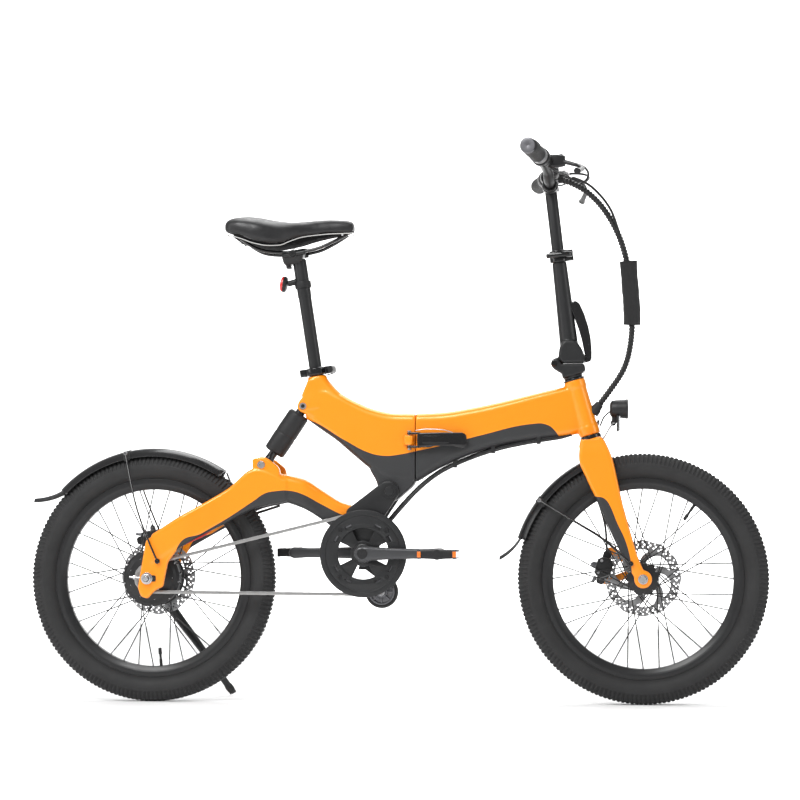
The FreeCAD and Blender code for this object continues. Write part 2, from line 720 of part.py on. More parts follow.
def make_rear_frame():
    """Rear half of the main frame: hull, seat tube, pivot lug, shock ears and hinge knuckles."""
    body = new_body("rear_frame")
    half = D["frame_width"].value / 2
    add_loft(body, "YZ_Plane", [
        (SEAM - D["seam_gap"].value, -half, 461, half, 604, 14),
        (0, -half, 458, half, 605, 15),
        (-45, -half, 483, half, 614, 16),
        (-90, 1 - half, 519, half - 1, 633, 16),
        (-125, 2 - half, 549, half - 2, 652, 16),
        (-155, 4 - half, 570, half - 4, 664, 15),
        (-186, 8 - half, 593, half - 8, 662, 12),
    ])
    lug = new_sketch(body, "XZ_Plane")
    px, pz = PIVOT[0], PIVOT[2]
    draw_loop(lug, [(px - 47, pz + 48), ((px - 22, pz - 8), (px - 28, pz + 18)),
                    ((px + 14, pz - 19), (px - 7, pz - 23)), (SEAM - 2, 458), (SEAM - 2, 490)])
    add_pad(body, lug, 50)
    add_primitive(body, "AdditiveCylinder", Placement(Vector(*SEAT_TOP), SEAT.Rotation)
                  * Placement(Vector(0, 0, -88), Rotation()), Radius=20, Height=86)
    add_primitive(body, "AdditiveCylinder", Placement(Vector(*SEAT_TOP), SEAT.Rotation)
                  * Placement(Vector(0, 0, -10), Rotation()), Radius=16.4, Height=31)
    ears = new_sketch(body, "XZ_Plane")
    sx, sz = SHOCK_TOP[0], SHOCK_TOP[2]
    draw_loop(ears, [(sx + 30, sz + 22), (sx + 34, sz - 28), (sx + 2, sz - 14),
                     ((sx + 9, sz + 12), (sx - 14, sz + 2))])
    add_pad(body, ears, 42)
    for low, height in ((467, 34), (565, 34)):
        knuckle = new_sketch(body, "XY_Plane", low)
        draw_loop(knuckle, [(SEAM - 30, half - 6), (SEAM - 2, half - 6), (SEAM - 2, half + 2),
                            (SEAM + 10, FOLD_Y - 4), ((SEAM - 6, FOLD_Y + 8), (SEAM + 6, FOLD_Y + 9))])
        add_pad(body, knuckle, height, midplane=False)
    catch = new_sketch(body, "XY_Plane", 538)
    draw_loop(catch, [(SEAM - 26, 4 - half), (SEAM - 22, -half - 14), (SEAM - 8, -half - 16),
                      (SEAM - 3, -half - 10), (SEAM - 3, 4 - half)])
    add_pad(body, catch, 20, midplane=False)
    document.recompute()
    shock_slot = new_sketch(body, "XZ_Plane")
    draw_circle(shock_slot, (sx - 2, sz - 3), 21)
    add_pocket(body, shock_slot, 25)
    eye = new_sketch(body, "XZ_Plane")
    draw_circle(eye, (sx, sz), 4.1)
    add_pocket(body, eye, 60)
    pivot_bore = new_sketch(body, "XZ_Plane")
    draw_circle(pivot_bore, (px, pz), D["pivot_radius"] + 0.1)
    add_pocket(body, pivot_bore, 80)
    knuckle_room = new_sketch(body, "XY_Plane", 532)
    draw_circle(knuckle_room, (SEAM, FOLD_Y), 25)
    add_pocket(body, knuckle_room, 65)
    pin_bore = new_sketch(body, "XY_Plane", 532)
    draw_circle(pin_bore, (SEAM, FOLD_Y), D["fold_pin_radius"] + 0.1)
    add_pocket(body, pin_bore, 160)
    lever_bore = new_sketch(body, "XY_Plane", 548)
    draw_circle(lever_bore, (SEAM - 12, -half - 8), 2.6)
    add_pocket(body, lever_bore, 40)
    add_primitive(body, "SubtractiveCylinder", SEAT * Placement(Vector(0, 0, -170), Rotation()),
                  Radius=D["seatpost_radius"] + 0.05, Height=200)
    keep(body, "rear_frame", Placement())


def make_front_frame():
    """Front half: hull with the battery bay, head tube and the middle hinge knuckle."""
    body = new_body("front_frame")
    half = D["frame_width"].value / 2
    add_loft(body, "YZ_Plane", [
        (SEAM, -half, 461, half, 604, 14),
        (100, -half, 494, half, 607, 16),
        (170, 1 - half, 523, half - 1, 618, 16),
        (240, 3 - half, 541, half - 3, 633, 15),
        (310, 6 - half, 551, half - 6, 650, 14),
        (368, 9 - half, 558, half - 9, 662, 12),
    ])
    add_primitive(body, "AdditiveCylinder", STEERING * Placement(Vector(0, 0, -60), Rotation()),
                  Radius=D["head_radius"], Height=D["head_half_length"] * 2)
    knuckle = new_sketch(body, "XY_Plane", 502)
    draw_loop(knuckle, [(SEAM + 30, half - 6), (SEAM + 6, FOLD_Y + 8),
                        ((SEAM - 10, FOLD_Y - 4), (SEAM - 6, FOLD_Y + 9)),
                        (SEAM + 1, half + 2), (SEAM + 1, half - 6)])
    add_pad(body, knuckle, 62, midplane=False)
    document.recompute()
    pin_bore = new_sketch(body, "XY_Plane", 532)
    draw_circle(pin_bore, (SEAM, FOLD_Y), D["fold_pin_radius"] + D["running_gap"])
    add_pocket(body, pin_bore, 160)
    bay = new_sketch(body, "XZ_Plane")
    draw_loop(bay, [(SEAM - 5, 505), (300, 567), (300, 630), (SEAM - 5, 567)])
    add_pocket(body, bay, 36)
    add_primitive(body, "SubtractiveCylinder", STEERING * Placement(Vector(0, 0, -90), Rotation()),
                  Radius=17, Height=180)
    keep(body, "front_frame", Placement())


def make_frame_fittings():
    battery = new_body("battery_pack")
    side = new_sketch(battery, "XZ_Plane")
    draw_loop(side, [(50, 510), (296, 569), (296, 625), (50, 564)])
    add_pad(battery, side, 33)
    keep(battery, "battery_pack", Placement())
    cups = []
    for start in (-68, 60.2):
        cups.append(ring(f"headset_{int(start + 100)}", D["head_radius"] + 1,
                         D["steerer_radius"] + D["running_gap"], 7.5,
                         STEERING * Placement(Vector(0, 0, start), Rotation())))
    group("headset_cups", cups)
    pins = [
        cylinder("fold_pin", D["fold_pin_radius"], 136, Placement(Vector(SEAM, FOLD_Y, 465), Rotation())),
        cylinder("pivot_axle", D["pivot_radius"], 84, sideways(PIVOT[0], PIVOT[2], -42)),
        cylinder("shock_bolt", 4, 50, sideways(SHOCK_TOP[0], SHOCK_TOP[2], -25)),
        ring("pivot_cap_right", 15, 0.5, 3, sideways(PIVOT[0], PIVOT[2], -45)),
        ring("pivot_cap_left", 15, 0.5, 3, sideways(PIVOT[0], PIVOT[2], 42)),
    ]
    group("frame_pins", pins)
    collar = new_body("seat_clamp")
    band = new_sketch(collar, "XY_Plane")
    draw_circle(band, (0, 0), 20)
    add_pad(collar, band, 16, midplane=False)
    lugs = new_sketch(collar, "XY_Plane")
    draw_loop(lugs, rounded_box((-9, 14), (9, 34), 3))
    add_pad(collar, lugs, 16, midplane=False)
    bore = new_sketch(collar, "XY_Plane")
    draw_circle(bore, (0, 0), 16.6)
    add_pocket(collar, bore, 80)
    slot = new_sketch(collar, "XY_Plane")
    draw_loop(slot, [(-1.5, 10), (1.5, 10), (1.5, 40), (-1.5, 40)])
    add_pocket(collar, slot, 80)
    bolt = new_sketch(collar, "YZ_Plane")
    draw_circle(bolt, (26, 8), 2.6)
    add_pocket(collar, bolt, 60)
    collar.Placement = SEAT * Placement(Vector(0, 0, 2.5), Rotation())
    skewer = make_skewer("seat", 19)
    skewer.Placement = SEAT * Placement(Vector(0, 26, 10.5), Rotation())
    group("seat_clamp", [collar, skewer])
    make_cam_lever("seat_clamp_lever", 44, skewer.Placement * Placement(Vector(19, 0, 0), Rotation()))


def make_skewer(label, reach):
    """A quick-release skewer along local X: round nut, shaft, eye and the lever's cross pin."""
    turn = Rotation(Vector(0, 1, 0), 90)
    eye = ring(label + "_eye", 5, 2, 3, Placement(Vector(reach, 0, -1.5), Rotation()))
    return fused_parts(label + "_skewer", [
        cylinder(label + "_shaft", 2.5, reach * 2 - 2, Placement(Vector(-reach, 0, 0), turn)),
        cylinder(label + "_nut", 7, 5, Placement(Vector(-reach - 3, 0, 0), turn)),
        cylinder(label + "_pin", 2.5, 12, Placement(Vector(reach, 0, -6), Rotation())), eye])


def make_cam_lever(label, length, placement):
    """The cam lever: two cheeks on the cross pin and a blade that lies along the clamp."""
    cheeks = [ring(f"{label}_cheek_{int(low + 6)}", 8, D["running_gap"] + 2.5, 3.2,
                   Placement(Vector(0, 0, low), Rotation())) for low in (-6, 2.8)]
    blade = document.addObject("Part::Box", label + "_blade")
    blade.Length, blade.Width, blade.Height = 6, length, 12
    blade.Placement = Placement(Vector(2, -length - 5.7, -6), Rotation())
    fused(label, cheeks + [blade], placement)


# ---------------------------------------------------------------- swingarm

def make_swingarm():
    """The rear triangle: crank shell, yoke, pivot ears, two splayed arms and the dropouts."""
    body = new_body("swingarm")
    add_loft(body, "YZ_Plane", [
        (-72, -37, 320, 37, 408, 9),
        (-110, -39, 350, 39, 418, 10),
        (-150, -41, 380, 41, 442, 12),
        (-192, -54, 406, 54, 468, 14),
        (-244, -57, 424, 57, 478, 14),
    ])
    add_primitive(body, "AdditiveCylinder", sideways(CRANK[0], CRANK[2], -34), Radius=22, Height=68)
    for side in (-1, 1):
        add_loft(body, "YZ_Plane", [
            (offset, min(side * a, side * b), low, max(side * a, side * b), high, 7)
            for offset, a, b, low, high in (
                (-225, 34, 58, 420, 486), (-290, 38, 60, 406, 490), (-350, 46, 64, 376, 446),
                (-400, 56, 72, 350, 416), (-450, 64, 79, 322, 388), (-505, 67, 79, 288, 352))
        ])
        ear = new_sketch(body, "XZ_Plane", -side * 33.5)
        px, pz = PIVOT[0], PIVOT[2]
        draw_loop(ear, [(px - 86, pz - 42), (px - 22, pz + 8), ((px + 19, pz - 8), (px + 4, pz + 21)),
                        (px - 14, pz - 52), (CRANK[0] + 16, CRANK[2] + 8), (CRANK[0] - 20, CRANK[2] + 12)])
        add_pad(body, ear, 12)
        lobe = new_sketch(body, "XZ_Plane", -side * 48)
        sx, sz = SHOCK_FOOT[0], SHOCK_FOOT[2]
        draw_loop(lobe, [(sx - 14, sz - 60), (sx + 40, sz - 60), (sx + 36, sz - 6), (sx + 12, sz + 15),
                         ((sx - 18, sz - 8), (sx - 12, sz + 13))])
        add_pad(body, lobe, 20)
        hook = new_sketch(body, "XZ_Plane", -side * 73)
        ax, az = REAR_AXLE[0], REAR_AXLE[2]
        draw_loop(hook, [(ax - 3, az + 78), (ax - 14, az + 15), (ax - 20, az - 19),
                         ((ax + 2, az - 44), (ax - 12, az - 42)), (ax + 16, az - 22), (ax + 32, az - 20),
                         (ax + 44, az + 34), (ax + 74, az + 74), (ax + 46, az + 112)])
        add_pad(body, hook, 10)
    for side in (-1, 1):
        add_primitive(body, "SubtractiveCylinder", sideways(CRANK[0], CRANK[2], side * 42 - 8),
                      Radius=20.2, Height=16)
    stand_plate = new_sketch(body, "XZ_Plane", -77)
    draw_loop(stand_plate, rounded_box((STAND[0] - 13, STAND[2] - 13), (STAND[0] + 13, STAND[2] + 46), 6))
    add_pad(body, stand_plate, 6)
    add_primitive(body, "AdditiveCylinder", sideways(STAND[0], STAND[2], 78), Radius=5, Height=24)
    document.recompute()
    for centre, radius in ((CRANK, 13), (PIVOT, D["pivot_radius"] + D["running_gap"]),
                           (SHOCK_FOOT, 5.1), (REAR_AXLE, D["rear_axle_radius"] + 0.1),
                           ((REAR_AXLE[0] + 2, 0, REAR_AXLE[2] - 34), 2.5)):
        bore = new_sketch(body, "XZ_Plane")
        draw_circle(bore, (centre[0], centre[2]), radius)
        add_pocket(body, bore, 400)
    sliced("swingarm", body, [
        ((-600, 0, 150), (-244, 110, 520)), ((-600, -110, 150), (-244, 0, 520)),
        ((-244, -110, 250), (-100, 110, 520)), ((-100, 27, 250), (40, 110, 520)),
        ((-100, -110, 250), (40, -27, 520)), ((-100, -27, 250), (40, 27, 520)),
    ])


def make_shock():
    """Eye-to-eye along local Z, the can above and the rod below; its lower bolt is returned."""
    top = SHOCK_LENGTH
    can = [cylinder("shock_can", 22, 85, Placement(Vector(0, 0, top - 115), Rotation())),
           cylinder("shock_neck", 10, 22, Placement(Vector(0, 0, top - 32), Rotation())),
           cylinder("shock_eye", 12, 24, Placement(Vector(0, 12, top), Rotation(Vector(1, 0, 0), 90)))]
    whole = document.addObject("Part::MultiFuse", "shock_can_whole")
    whole.Shapes = can
    holes = [cylinder("shock_can_bore", 10.6, 81, Placement(Vector(0, 0, top - 116), Rotation())),
             cylinder("shock_eye_bore", D["running_gap"] + 4, 40,
                      Placement(Vector(0, 20, top), Rotation(Vector(1, 0, 0), 90)))]
    tools = document.addObject("Part::MultiFuse", "shock_can_tools")
    tools.Shapes = holes
    body = document.addObject("Part::Cut", "shock_body_cut")
    body.Base = whole
    body.Tool = tools
    keep(body, "shock_body", SHOCK)
    rod_parts = [cylinder("shock_shaft", 10.2, 70, Placement(Vector(0, 0, 12), Rotation())),
                 cylinder("shock_foot", 12, 24, Placement(Vector(0, 12, 0), Rotation(Vector(1, 0, 0), 90)))]
    lower = document.addObject("Part::MultiFuse", "shock_rod_whole")
    lower.Shapes = rod_parts
    cut = document.addObject("Part::Cut", "shock_rod_cut")
    cut.Base = lower
    cut.Tool = cylinder("shock_foot_bore", 6.4, 40, Placement(Vector(0, 20, 0), Rotation(Vector(1, 0, 0), 90)))
    keep(cut, "shock_rod", SHOCK)
    bolt = [cylinder("lower_bolt", 5, 118, sideways(SHOCK_FOOT[0], SHOCK_FOOT[2], -59)),
            ring("lower_head_right", 9, 1, 4, sideways(SHOCK_FOOT[0], SHOCK_FOOT[2], -63)),
            ring("lower_head_left", 9, 1, 4, sideways(SHOCK_FOOT[0], SHOCK_FOOT[2], 59)),
            ring("lower_sleeve_right", 9, 5, 22, sideways(SHOCK_FOOT[0], SHOCK_FOOT[2], -36)),
            ring("lower_sleeve_left", 9, 5, 22, sideways(SHOCK_FOOT[0], SHOCK_FOOT[2], 14))]
    return fused_parts("shock_lower_bolt", bolt)


def make_caliper(label, position, swing):
    """A cable disc caliper: body, cable arm and a mounting foot, straddling its rotor."""
    body = new_body(label)
    block = new_sketch(body, "XZ_Plane")
    draw_loop(block, rounded_box((-21, -17), (21, 17), 7))
    add_pad(body, block, 34)
    foot = new_sketch(body, "XZ_Plane", -12.6)
    draw_loop(foot, rounded_box((-36, -9), (36, 9), 6))
    add_pad(body, foot, 7.2)
    document.recompute()
    slot = new_sketch(body, "XZ_Plane")
    draw_loop(slot, [(-60, -60), (60, -60), (60, 11), (-60, 11)])
    add_pocket(body, slot, 5)
    keep(body, label, Placement(Vector(*position), Rotation(Vector(0, 1, 0), swing)))


def make_mudguard(label, axle, start, sweep, stay):
    """A curved channel over the tyre, with two wire stays."""
    body = new_body(label + "_blade")
    section = new_sketch(body, "XY_Plane")
    radius = D["mudguard_radius"]
    thick = D["mudguard_thickness"]
    draw_loop(section, [((30, radius - 7), (0, radius)), (30, radius - 7 - plain(thick)),
                        ((-30, radius - 7 - plain(thick)), (0, radius - thick)), (-30, radius - 7)])
    turn = body.newObject("PartDesign::Revolution", label + "_turn")
    turn.Profile = section
    turn.ReferenceAxis = (section, ["H_Axis"])
    turn.Angle = sweep
    rotation = Rotation(Vector(0, 1, 0), -start) * Rotation(Vector(0, 0, 1), -90)
    body.Placement = Placement(Vector(*axle), rotation)
    wires = []
    for side in (-1, 1):
        item = document.addObject("Part::Feature", f"{label}_stay_{side + 1}")
        item.Shape = tube([(x, side * y, z) for x, y, z in stay], 2, label + " stay")
        wires.append(item)
    group(label, [body] + wires)


def make_kickstand():
    start, foot = STAND, STAND_FOOT
    leg = rod(start, foot, 7)
    pad = Part.makeSphere(8, Vector(*foot))
    hub = Part.makeCylinder(13, 16, Vector(start[0], 84, start[2]), Vector(0, 1, 0))
    hub = hub.cut(Part.makeCylinder(5.05, 30, Vector(start[0], 80, start[2]), Vector(0, 1, 0)))
    leg = leg.cut(Part.makeCylinder(5.05, 60, Vector(start[0], 60, start[2]), Vector(0, 1, 0)))
    feature("kickstand", hub.fuse(leg.fuse(pad)))


# ---------------------------------------------------------------- front end

def make_fork(lamp_bracket):
    """Crown, two blades and the steerer, with the lamp's wire bracket bolted to the crown."""
    body = new_body("fork")
    crown = new_sketch(body, "XZ_Plane")
    draw_loop(crown, [(386, 542.8), (383, 532), (440, 532), (446, 542), (429, 555.2)])
    add_pad(body, crown, 108)
    for side in (-1, 1):
        add_loft(body, "XY_Plane", [
            (height, low, min(side * a, side * b), high, max(side * a, side * b), 4.5)
            for height, low, high, a, b in (
                (546, 387, 434, 38, 53), (510, 384, 453, 36, 56), (466, 400, 463, 36, 56),
                (420, 422, 473, 38, 57), (350, 452, 492, 45, 60), (300, 476, 507, 52, 63),
                (262, 498, 526, 52, 62))
        ])
        tip = new_sketch(body, "XZ_Plane", -side * 57)
        x, z = FRONT_AXLE[0], FRONT_AXLE[2]
        draw_loop(tip, [(x - 19, z + 20), (x - 17, z), ((x + 17, z), (x, z - 18)), (x + 9, z + 20)])
        add_pad(body, tip, 10)
    add_primitive(body, "AdditiveCylinder", STEERING * Placement(Vector(0, 0, -76), Rotation()),
                  Radius=24, Height=7.5)
    add_primitive(body, "AdditiveCylinder", STEERING * Placement(Vector(0, 0, -76), Rotation()),
                  Radius=D["steerer_radius"], Height=164)
    document.recompute()
    bore = new_sketch(body, "XZ_Plane")
    draw_circle(bore, (FRONT_AXLE[0], FRONT_AXLE[2]), D["front_axle_radius"] + 0.1)
    add_pocket(body, bore, 400)
    group("fork", [body, lamp_bracket])


def make_headlight():
    """Lamp head with the reflector plate below; its wire bracket is returned."""
    head = [
        cylinder("lamp_head", 19, 34, Placement(Vector(448, 0, 613), Rotation(Vector(0, 1, 0), 90))),
        cylinder("lamp_rim", 20.5, 6, Placement(Vector(480, 0, 613), Rotation(Vector(0, 1, 0), 90))),
    ]
    plate = document.addObject("Part::Box", "lamp_reflector")
    plate.Length, plate.Width, plate.Height = 8, 44, 34
    plate.Placement = Placement(Vector(462, -22, 566), Rotation())
    neck = document.addObject("Part::Box", "lamp_neck")
    neck.Length, neck.Width, neck.Height = 10, 10, 14
    neck.Placement = Placement(Vector(455, -5, 584), Rotation())
    ear = ring("lamp_ear", 6, 2.05, 10, sideways(455, 584, -5))
    cut_neck = document.addObject("Part::Cut", "lamp_neck_cut")
    cut_neck.Base = neck
    cut_neck.Tool = cylinder("lamp_neck_bore", 2.05, 40, sideways(455, 584, -20))
    fused("headlight", head + [plate, cut_neck, ear])
    arms = []
    for side in (-1, 1):
        item = document.addObject("Part::Feature", f"lamp_arm_{side + 1}")
        item.Shape = rod((438, side * 8.5, 552), (455, side * 8.5, 584), 1.7)
        arms.append(item)
    arms.append(cylinder("lamp_pin", 2, 21, sideways(455, 584, -10.5)))
    arms.append(cylinder("lamp_foot", 2, 21, sideways(438, 552, -10.5)))
    arms.append(cylinder("lamp_stem", 5, 14, Placement(Vector(428, 0, 547), Rotation(Vector(0, 1, 0), 60))))
    return fused_parts("headlight_bracket", arms)


def make_handlepost():
    """Hinged post: a base on the steerer, a folding tapered tube and a sliding upper tube."""
    base = new_body("handlepost_base")
    block = new_sketch(base, "XZ_Plane")
    draw_loop(block, [(346, 700), (350, 675.2), (392, 687.2), (398, 692), (396, 707), (346, 707)])
    add_pad(base, block, 46)
    for y in (-17, 17):
        eye = new_sketch(base, "XZ_Plane", y)
        hx, hz = POST_HINGE[0], POST_HINGE[2]
        draw_loop(eye, [(348, 686), (348, 706), (hx + 6, hz + 7), ((hx + 1, hz - 9), (hx - 9, hz))])
        add_pad(base, eye, 12)
    document.recompute()
    add_primitive(base, "SubtractiveCylinder", STEERING * Placement(Vector(0, 0, -20), Rotation()),
                  Radius=D["steerer_radius"] + 0.05, Height=108.2)
    pin = new_sketch(base, "XZ_Plane")
    draw_circle(pin, (POST_HINGE[0], POST_HINGE[2]), 4.1)
    add_pocket(base, pin, 80)
    pin_rod = cylinder("post_hinge_pin", 4, 46, sideways(POST_HINGE[0], POST_HINGE[2], -23))
    group("handlepost_base", [base, pin_rod])

    post = new_body("handlepost_lower")
    foot = new_sketch(post, "XZ_Plane")
    draw_loop(foot, [(349, 709), (396, 709), (397, 722), (388, 742), (344, 742), (340, 720)])
    add_pad(post, foot, 44)
    tongue = new_sketch(post, "XZ_Plane")
    draw_loop(tongue, [(352, 709.5), (352, 724), (POST_HINGE[0] - 4, POST_HINGE[2] + 9),
                       ((POST_HINGE[0] + 5, POST_HINGE[2] - 8), (POST_HINGE[0] - 9, POST_HINGE[2] - 3)),
                       (346, 709)])
    add_pad(post, tongue, 21)
    add_primitive(post, "AdditiveCone", POST, Radius1=19, Radius2=15.2, Height=186)
    document.recompute()
    add_primitive(post, "SubtractiveCylinder", POST * Placement(Vector(0, 0, 12), Rotation()),
                  Radius=D["upper_post_radius"] + 0.05, Height=190)
    for y in (-13.5, 13.5):
        ear = new_sketch(post, "XZ_Plane", y)
        draw_loop(ear, [(394, 711), (LATCH_PIN[0], LATCH_PIN[2] - 5),
                        ((LATCH_PIN[0], LATCH_PIN[2] + 5), (LATCH_PIN[0] + 5, LATCH_PIN[2])), (394, 722)])
        add_pad(post, ear, 3)
    add_primitive(post, "AdditiveCylinder", sideways(LATCH_PIN[0], LATCH_PIN[2], -15), Radius=2.5, Height=30)
    document.recompute()
    bore = new_sketch(post, "XZ_Plane")
    draw_circle(bore, (POST_HINGE[0], POST_HINGE[2]), 4 + D["running_gap"].value)
    add_pocket(post, bore, 80)
    keep(post, "handlepost_lower", Placement())

    collar = new_body("post_clamp")
    band = new_sketch(collar, "XY_Plane")
    draw_circle(band, (0, 0), 18.5)
    add_pad(collar, band, 24, midplane=False)
    lugs = new_sketch(collar, "XY_Plane")
    draw_loop(lugs, rounded_box((10, -9), (31, 9), 3))
    add_pad(collar, lugs, 24, midplane=False)
    bore = new_sketch(collar, "XY_Plane")
    draw_circle(bore, (0, 0), D["upper_post_radius"] + 0.35)
    add_pocket(collar, bore, 100)
    slot = new_sketch(collar, "XY_Plane")
    draw_loop(slot, [(5, -1.5), (40, -1.5), (40, 1.5), (5, 1.5)])
    add_pocket(collar, slot, 100)
    bolt = new_sketch(collar, "XZ_Plane")
    draw_circle(bolt, (24, 12), 2.7)
    add_pocket(collar, bolt, 60)
    collar.Placement = POST * Placement(Vector(0, 0, 186.4), Rotation())
    skewer = make_skewer("post", 19)
    turn = Rotation(Vector(0, 0, 1), -90)
    skewer.Placement = POST * Placement(Vector(24, 0, 198.4), turn)
    group("post_clamp", [collar, skewer])
    make_cam_lever("post_clamp_lever", 46, skewer.Placement * Placement(Vector(19, 0, 0), Rotation()))

    upper = document.addObject("Part::MultiFuse", "upper_post_fusion")
    upper.Shapes = [cylinder("upper_tube", D["upper_post_radius"], 208, Placement(Vector(0, 0, 132),
        Rotation())),
                    cylinder("stem_barrel", 16, 46, Placement(Vector(0, 23, 347), Rotation(Vector(1, 0, 0),
                        90)))]
    cut = document.addObject("Part::Cut", "upper_post_cut")
    cut.Base = upper
    cut.Tool = cylinder("stem_bore", D["bar_radius"] + 0.05, 80,
                        Placement(Vector(0, 40, 347), Rotation(Vector(1, 0, 0), 90)))
    keep(cut, "handlepost_upper", POST)


def make_post_latch():
    """The lever that locks the handlepost hinge, lying along the front of the post."""
    body = new_body("handlepost_latch")
    side = new_sketch(body, "XZ_Plane")
    x, z = LATCH_PIN[0], LATCH_PIN[2]
    draw_loop(side, [(x - 5, z), ((x + 5, z), (x, z - 5)), ((380, 837), (407, 780)), ((374, 834), (376, 839)),
                     ((x - 5, z + 8), (398.6, 775))])
    draw_circle(side, (x, z), D["running_gap"] + 2.5)
    add_pad(body, side, 22)
    keep(body, "handlepost_latch", Placement())


def make_frame_latch():
    """The lever that locks the frame joint: two arms on a pin and a long finger plate."""
    half = D["frame_width"].value / 2
    y = -half - 8
    x = SEAM - 12
    body = new_body("frame_latch_lever")
    plate = new_sketch(body, "XZ_Plane", half + 14)
    draw_loop(plate, [(x + 17, 532), (x + 17, 564), (x + 114, 564), ((x + 121, 556), (x + 119, 562)),
                      (x + 121, 534), ((x + 112, 530), (x + 118, 531)), (x + 90, 536), (x + 50, 536)])
    add_pad(body, plate, 7)
    for height in (532, 560):
        arm = new_sketch(body, "XY_Plane", height)
        draw_loop(arm, [(x, y + 5), ((x, y - 5), (x - 5, y)), (x + 20, y - 8), (x + 24, y - 2), (x + 18,
            y - 1)])
        add_pad(body, arm, 4, midplane=False)
    add_primitive(body, "AdditiveCylinder", Placement(Vector(x, y, 532), Rotation()), Radius=2.5, Height=32)
    keep(body, "frame_latch_lever", Placement())


# ---------------------------------------------------------------- bar and seat

STEM = (POST * Placement(Vector(0, 0, 347), Rotation())).Base
BAR_ROUTE = [(STEM.x, 0, STEM.z), (STEM.x, 52, STEM.z), (STEM.x - 4, 96, STEM.z + 38),
             (STEM.x - 34, 296, STEM.z + 42)]
BAR_END = Vector(*BAR_ROUTE[-1])
BAR_RUN = (Vector(*BAR_ROUTE[-2]) - BAR_END).normalize()


def on_bar(side, distance):
    """A placement on the straight outer bar, its local Z pointing inwards."""
    point = BAR_END + BAR_RUN * distance
    direction = Vector(BAR_RUN.x, side * BAR_RUN.y, BAR_RUN.z)
    return Placement(Vector(point.x, side * point.y, point.z), Rotation(Vector(0, 0, 1), direction))


def make_bar():
    half = BAR_ROUTE
    points = [(x, -y, z) for x, y, z in half[:0:-1]] + half[1:]
    feature("handlebar", tube(points, D["bar_radius"].value, "handlebar"))
    grips = []
    for side, length in ((-1, 104), (1, 128)):
        grips.append(ring(f"grip_{side + 1}", D["grip_radius"], D["bar_radius"] + 0.05, length,
                          on_bar(side, -3)))
    group("grips", grips)
    keep(ring("throttle_ring", 17, D["bar_radius"] + D["running_gap"], 24, on_bar(-1, 103)), "throttle")


def lever_shape(side):
    """A two-finger brake blade, from its pivot out along the grip."""
    points = [(356, side * 116, 1118), (392, side * 128, 1104), (398, side * 168, 1094), (388, side * 232,
        1080)]
    blade = tube(points, 5, f"brake_lever_{side}")
    return blade.fuse(Part.makeCylinder(8, 12, Vector(352, side * 116, 1112), Vector(0, 0, 1))).cut(
        Part.makeCylinder(2.55, 30, Vector(352, side * 116, 1100), Vector(0, 0, 1)))


def make_controls():
    clamps = []
    for side in (-1, 1):
        clamp = ring(f"lever_clamp_{side + 1}", 17, D["bar_radius"] + 0.05, 20, on_bar(side, 158))
        mount = document.addObject("Part::Feature", f"lever_mount_{side + 1}")
        pivot = Part.makeCylinder(2.5, 26, Vector(352, side * 116, 1105), Vector(0, 0, 1))
        cheeks = Part.makeBox(34, 16, 4, Vector(324, side * 116 - 8, 1106)).fuse(
            Part.makeBox(34, 16, 4, Vector(324, side * 116 - 8, 1126)))
        web = Part.makeBox(12, 16, 24, Vector(328, side * 116 - 8, 1106))
        space = Part.makeCylinder(17.2, 60, clamp.Placement.Base, clamp.Placement.Rotation.multVec(Vector(0,
            0, 1)))
        mount.Shape = cheeks.fuse(web).cut(space).fuse(pivot)
        clamps += [clamp, mount]
    for side, word in ((-1, "right"), (1, "left")):
        feature(f"brake_lever_{word}", lever_shape(side))
    screen = new_body("display")
    face = new_sketch(screen, "XZ_Plane")
    draw_loop(face, rounded_box((STEM.x - 14, STEM.z + 20), (STEM.x + 18, STEM.z + 44), 6))
    add_pad(screen, face, 62)
    group("bar_controls", clamps + [screen])


def make_seat():
    post = ring("seatpost_tube", D["seatpost_radius"], 11.5, 345, SEAT * Placement(Vector(0, 0, -96),
        Rotation()))
    keep(post, "seatpost")
    head = new_body("saddle_clamp")
    block = new_sketch(head, "XZ_Plane")
    draw_loop(block, rounded_box((-26, 250), (24, 272), 8))
    add_pad(head, block, 46)
    head.Placement = SEAT
    rails = []
    for side in (-1, 1):
        points = [(-338, side * 52, 985), (-305, side * 46, 956), (-262, side * 29, 944), (-178, side * 26,
            947),
                  (-130, side * 20, 968), (-104, side * 9, 984)]
        item = document.addObject("Part::Feature", f"rail_{side + 1}")
        item.Shape = tube(points, 3.5, "saddle rail")
        rails.append(item)
    group("saddle_frame", [head] + rails)
    saddle = new_body("saddle")
    add_loft(saddle, "YZ_Plane", [
        (-357, -52, 984, 52, 1016, 12), (-325, -84, 966, 84, 1022, 22),
        (-275, -86, 960, 86, 1014, 24), (-225, -62, 966, 62, 1010, 18),
        (-170, -36, 974, 36, 1014, 16), (-120, -28, 982, 28, 1019, 14),
        (-87, -20, 990, 20, 1014, 10),
    ])
    keep(saddle, "saddle", Placement())
    lamp = [ring("lamp_band", 17, D["seatpost_radius"] + 0.05, 10, SEAT * Placement(Vector(0, 0, 192),
        Rotation())),
            cylinder("lamp_arm", 5, 16, Placement(Vector(-233, 0, 878), Rotation(Vector(0, 1, 0), 90))),
            cylinder("lamp_case", 17, 20, Placement(Vector(-250, 0, 876), Rotation(Vector(0, 1, 0), 90)))]
    fused("rear_light", lamp)


# ---------------------------------------------------------------- cables

HARNESS = [(352, -22, 1092), (384, -22, 1082), (428, -14, 1046), (462, -6, 994), (483, 0, 936), (491, 0, 878),
           (496, 0, 816), (494, 0, 756), (482, 0, 702), (456, 0, 661), (422, 0, 617)]


